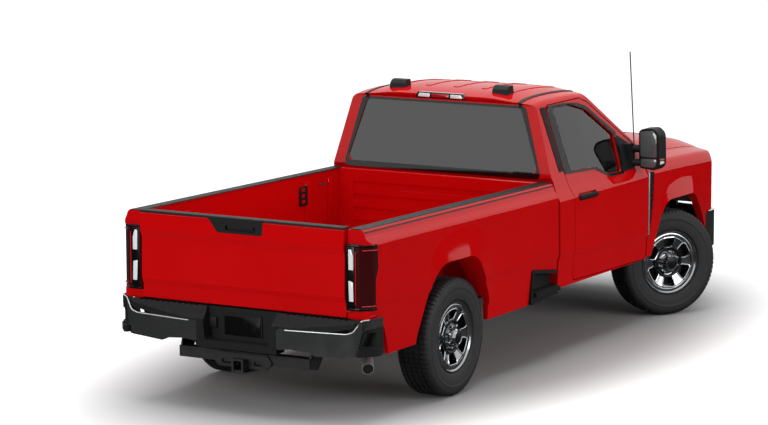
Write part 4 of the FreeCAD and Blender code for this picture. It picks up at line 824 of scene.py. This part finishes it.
studio = {
    "cameraAt": (-21.864, -12.199, 4.943),  # metres
    "heading": 29.764, "tilt": -9.086, "roll": -0.159,  # degrees
    "focalPixels": 3360.9, "centreX": 27.5, "centreY": 9.5,  # in the photograph's 768 pixels
    "width": 768, "floorSize": 240.0,  # the floor in metres
    "floorTone": 0.7, "floorSeenTone": 0.55, "floorGlossDrop": -0.64,  # as a light; darker to the eye, a painted shade that deepens the shadow; far darker in gloss, a painted dark reflection
    "shadowHalf": (3.4, 1.7), "glowFrom": 0.75, "glowTo": 1.5,  # metres, then shares of them
    "skyAsLight": 0.22,
    "softboxes": {  # place, target, size and watts
        "overheadSoftbox": ((0, 0, 7.0), (0, 0, 0), (11, 6), 450),
        "rearSoftbox": ((-11, 1.0, 3.2), (-2, 0, 0.9), (4, 5), 330),
        "sideSoftbox": ((0, -10.5, 3.0), (0, 0, 0.9), (9, 3), 360),
    },
}


def makeCamera():
    data = bpy.data.cameras.new("studioCamera")
    data.sensor_fit = "HORIZONTAL"
    data.sensor_width = 36
    data.lens = 36 * studio["focalPixels"] / studio["width"]
    data.shift_x = -studio["centreX"] / studio["width"]
    data.shift_y = studio["centreY"] / studio["width"]
    data.clip_end = 500
    camera = bpy.data.objects.new("studioCamera", data)
    heading, tilt = math.radians(studio["heading"]), math.radians(studio["tilt"])
    ahead = Vector((math.cos(tilt) * math.cos(heading), math.cos(tilt) * math.sin(heading), math.sin(tilt)))
    right = ahead.cross(Vector((0, 0, 1))).normalized()
    up = right.cross(ahead)
    turn = Matrix((right, up, -ahead)).transposed() @ Matrix.Rotation(math.radians(studio["roll"]), 3, "Z")
    camera.matrix_world = Matrix.Translation(studio["cameraAt"]) @ turn.to_4x4()
    bpy.context.scene.collection.objects.link(camera)
    bpy.context.scene.camera = camera


def addLamp(name, place, target, size, power):
    data = bpy.data.lights.new(name, "AREA")
    data.shape = "RECTANGLE"
    data.size, data.size_y = size
    data.energy = power
    lamp = bpy.data.objects.new(name, data)
    lamp.location = place
    lamp.rotation_euler = (Vector(target) - Vector(place)).to_track_quat("-Z", "Y").to_euler()
    bpy.context.scene.collection.objects.link(lamp)


# true for rays from the camera and through glass, which see the white background
def seenDirectly(material):
    path = addNode(material, "ShaderNodeLightPath")
    direct = {0: path.outputs["Is Camera Ray"], 1: path.outputs["Is Transmission Ray"]}
    seen = addNode(material, "ShaderNodeMath", direct, operation="MAXIMUM")
    return path, seen


def floorMaterial():  # white round the shadow for the eye, with the floor inside seen darker than it lights, a painted shade; far darker in gloss, a painted dark reflection
    material = bpy.data.materials.new("white studio floor")
    material.use_nodes = True
    material.node_tree.nodes.clear()
    path, seen = seenDirectly(material)
    # the floor is seen darker than it lights: painted shade that deepens the cast shadow
    tone = addNode(material, "ShaderNodeMapRange", {0: seen.outputs[0]}, To_Min=studio["floorTone"],
                   To_Max=studio["floorSeenTone"])
    # in gloss the floor is drawn almost black: a painted dark reflection on the body
    dark = addNode(material, "ShaderNodeMath", {0: path.outputs["Is Glossy Ray"], 2: tone.outputs[0]},
                   operation="MULTIPLY_ADD")
    dark.inputs[1].default_value = studio["floorGlossDrop"]
    matt = addNode(material, "ShaderNodeBsdfDiffuse", {"Color": dark.outputs[0]})
    where = addNode(material, "ShaderNodeTexCoord")
    plan = addNode(material, "ShaderNodeVectorMath", {0: where.outputs["Object"]}, operation="MULTIPLY")
    plan.inputs[1].default_value = (1 / studio["shadowHalf"][0], 1 / studio["shadowHalf"][1], 0)
    away = addNode(material, "ShaderNodeVectorMath", {0: plan.outputs[0]}, operation="LENGTH")
    far = addNode(material, "ShaderNodeMapRange", {0: away.outputs["Value"]}, interpolation_type="SMOOTHSTEP",
                  From_Min=studio["glowFrom"], From_Max=studio["glowTo"])
    shown = addNode(material, "ShaderNodeMath", {0: seen.outputs[0], 1: far.outputs[0]}, operation="MULTIPLY")
    glow = addNode(material, "ShaderNodeEmission", {"Strength": shown.outputs[0]}, Color=[1, 1, 1, 1])
    both = addNode(material, "ShaderNodeAddShader", {0: matt.outputs[0], 1: glow.outputs[0]})
    addNode(material, "ShaderNodeOutputMaterial", {"Surface": both.outputs[0]})
    return material


def makeFloor():
    mesh = bpy.data.meshes.new("studioFloor")
    form = bmesh.new()
    bmesh.ops.create_grid(form, x_segments=1, y_segments=1, size=studio["floorSize"] / 2)
    form.to_mesh(mesh)
    form.free()
    mesh.materials.append(floorMaterial())
    floor = bpy.data.objects.new("studioFloor", mesh)
    bpy.context.scene.collection.objects.link(floor)


def makeWorld():  # white for the eye, glass and gloss; weaker as a light so that the softboxes shape the body
    world = bpy.data.worlds.new("studioWorld")
    bpy.context.scene.world = world
    world.use_nodes = True
    world.node_tree.nodes.clear()
    path, seen = seenDirectly(world)
    shown = addNode(world, "ShaderNodeMath", {0: seen.outputs[0], 1: path.outputs["Is Glossy Ray"]},
                    operation="MAXIMUM")
    level = addNode(world, "ShaderNodeMapRange", {0: shown.outputs[0]}, To_Min=studio["skyAsLight"], To_Max=1.0)
    sky = addNode(world, "ShaderNodeBackground", {"Strength": level.outputs[0]}, Color=[1, 1, 1, 1])
    addNode(world, "ShaderNodeOutputWorld", {"Surface": sky.outputs[0]})


makeCamera()
makeFloor()
makeWorld()
for name, (place, target, size, power) in studio["softboxes"].items():
    addLamp(name, place, target, size, power)
bpy.context.scene.view_settings.view_transform = "Standard"
print("camera and lamps set")
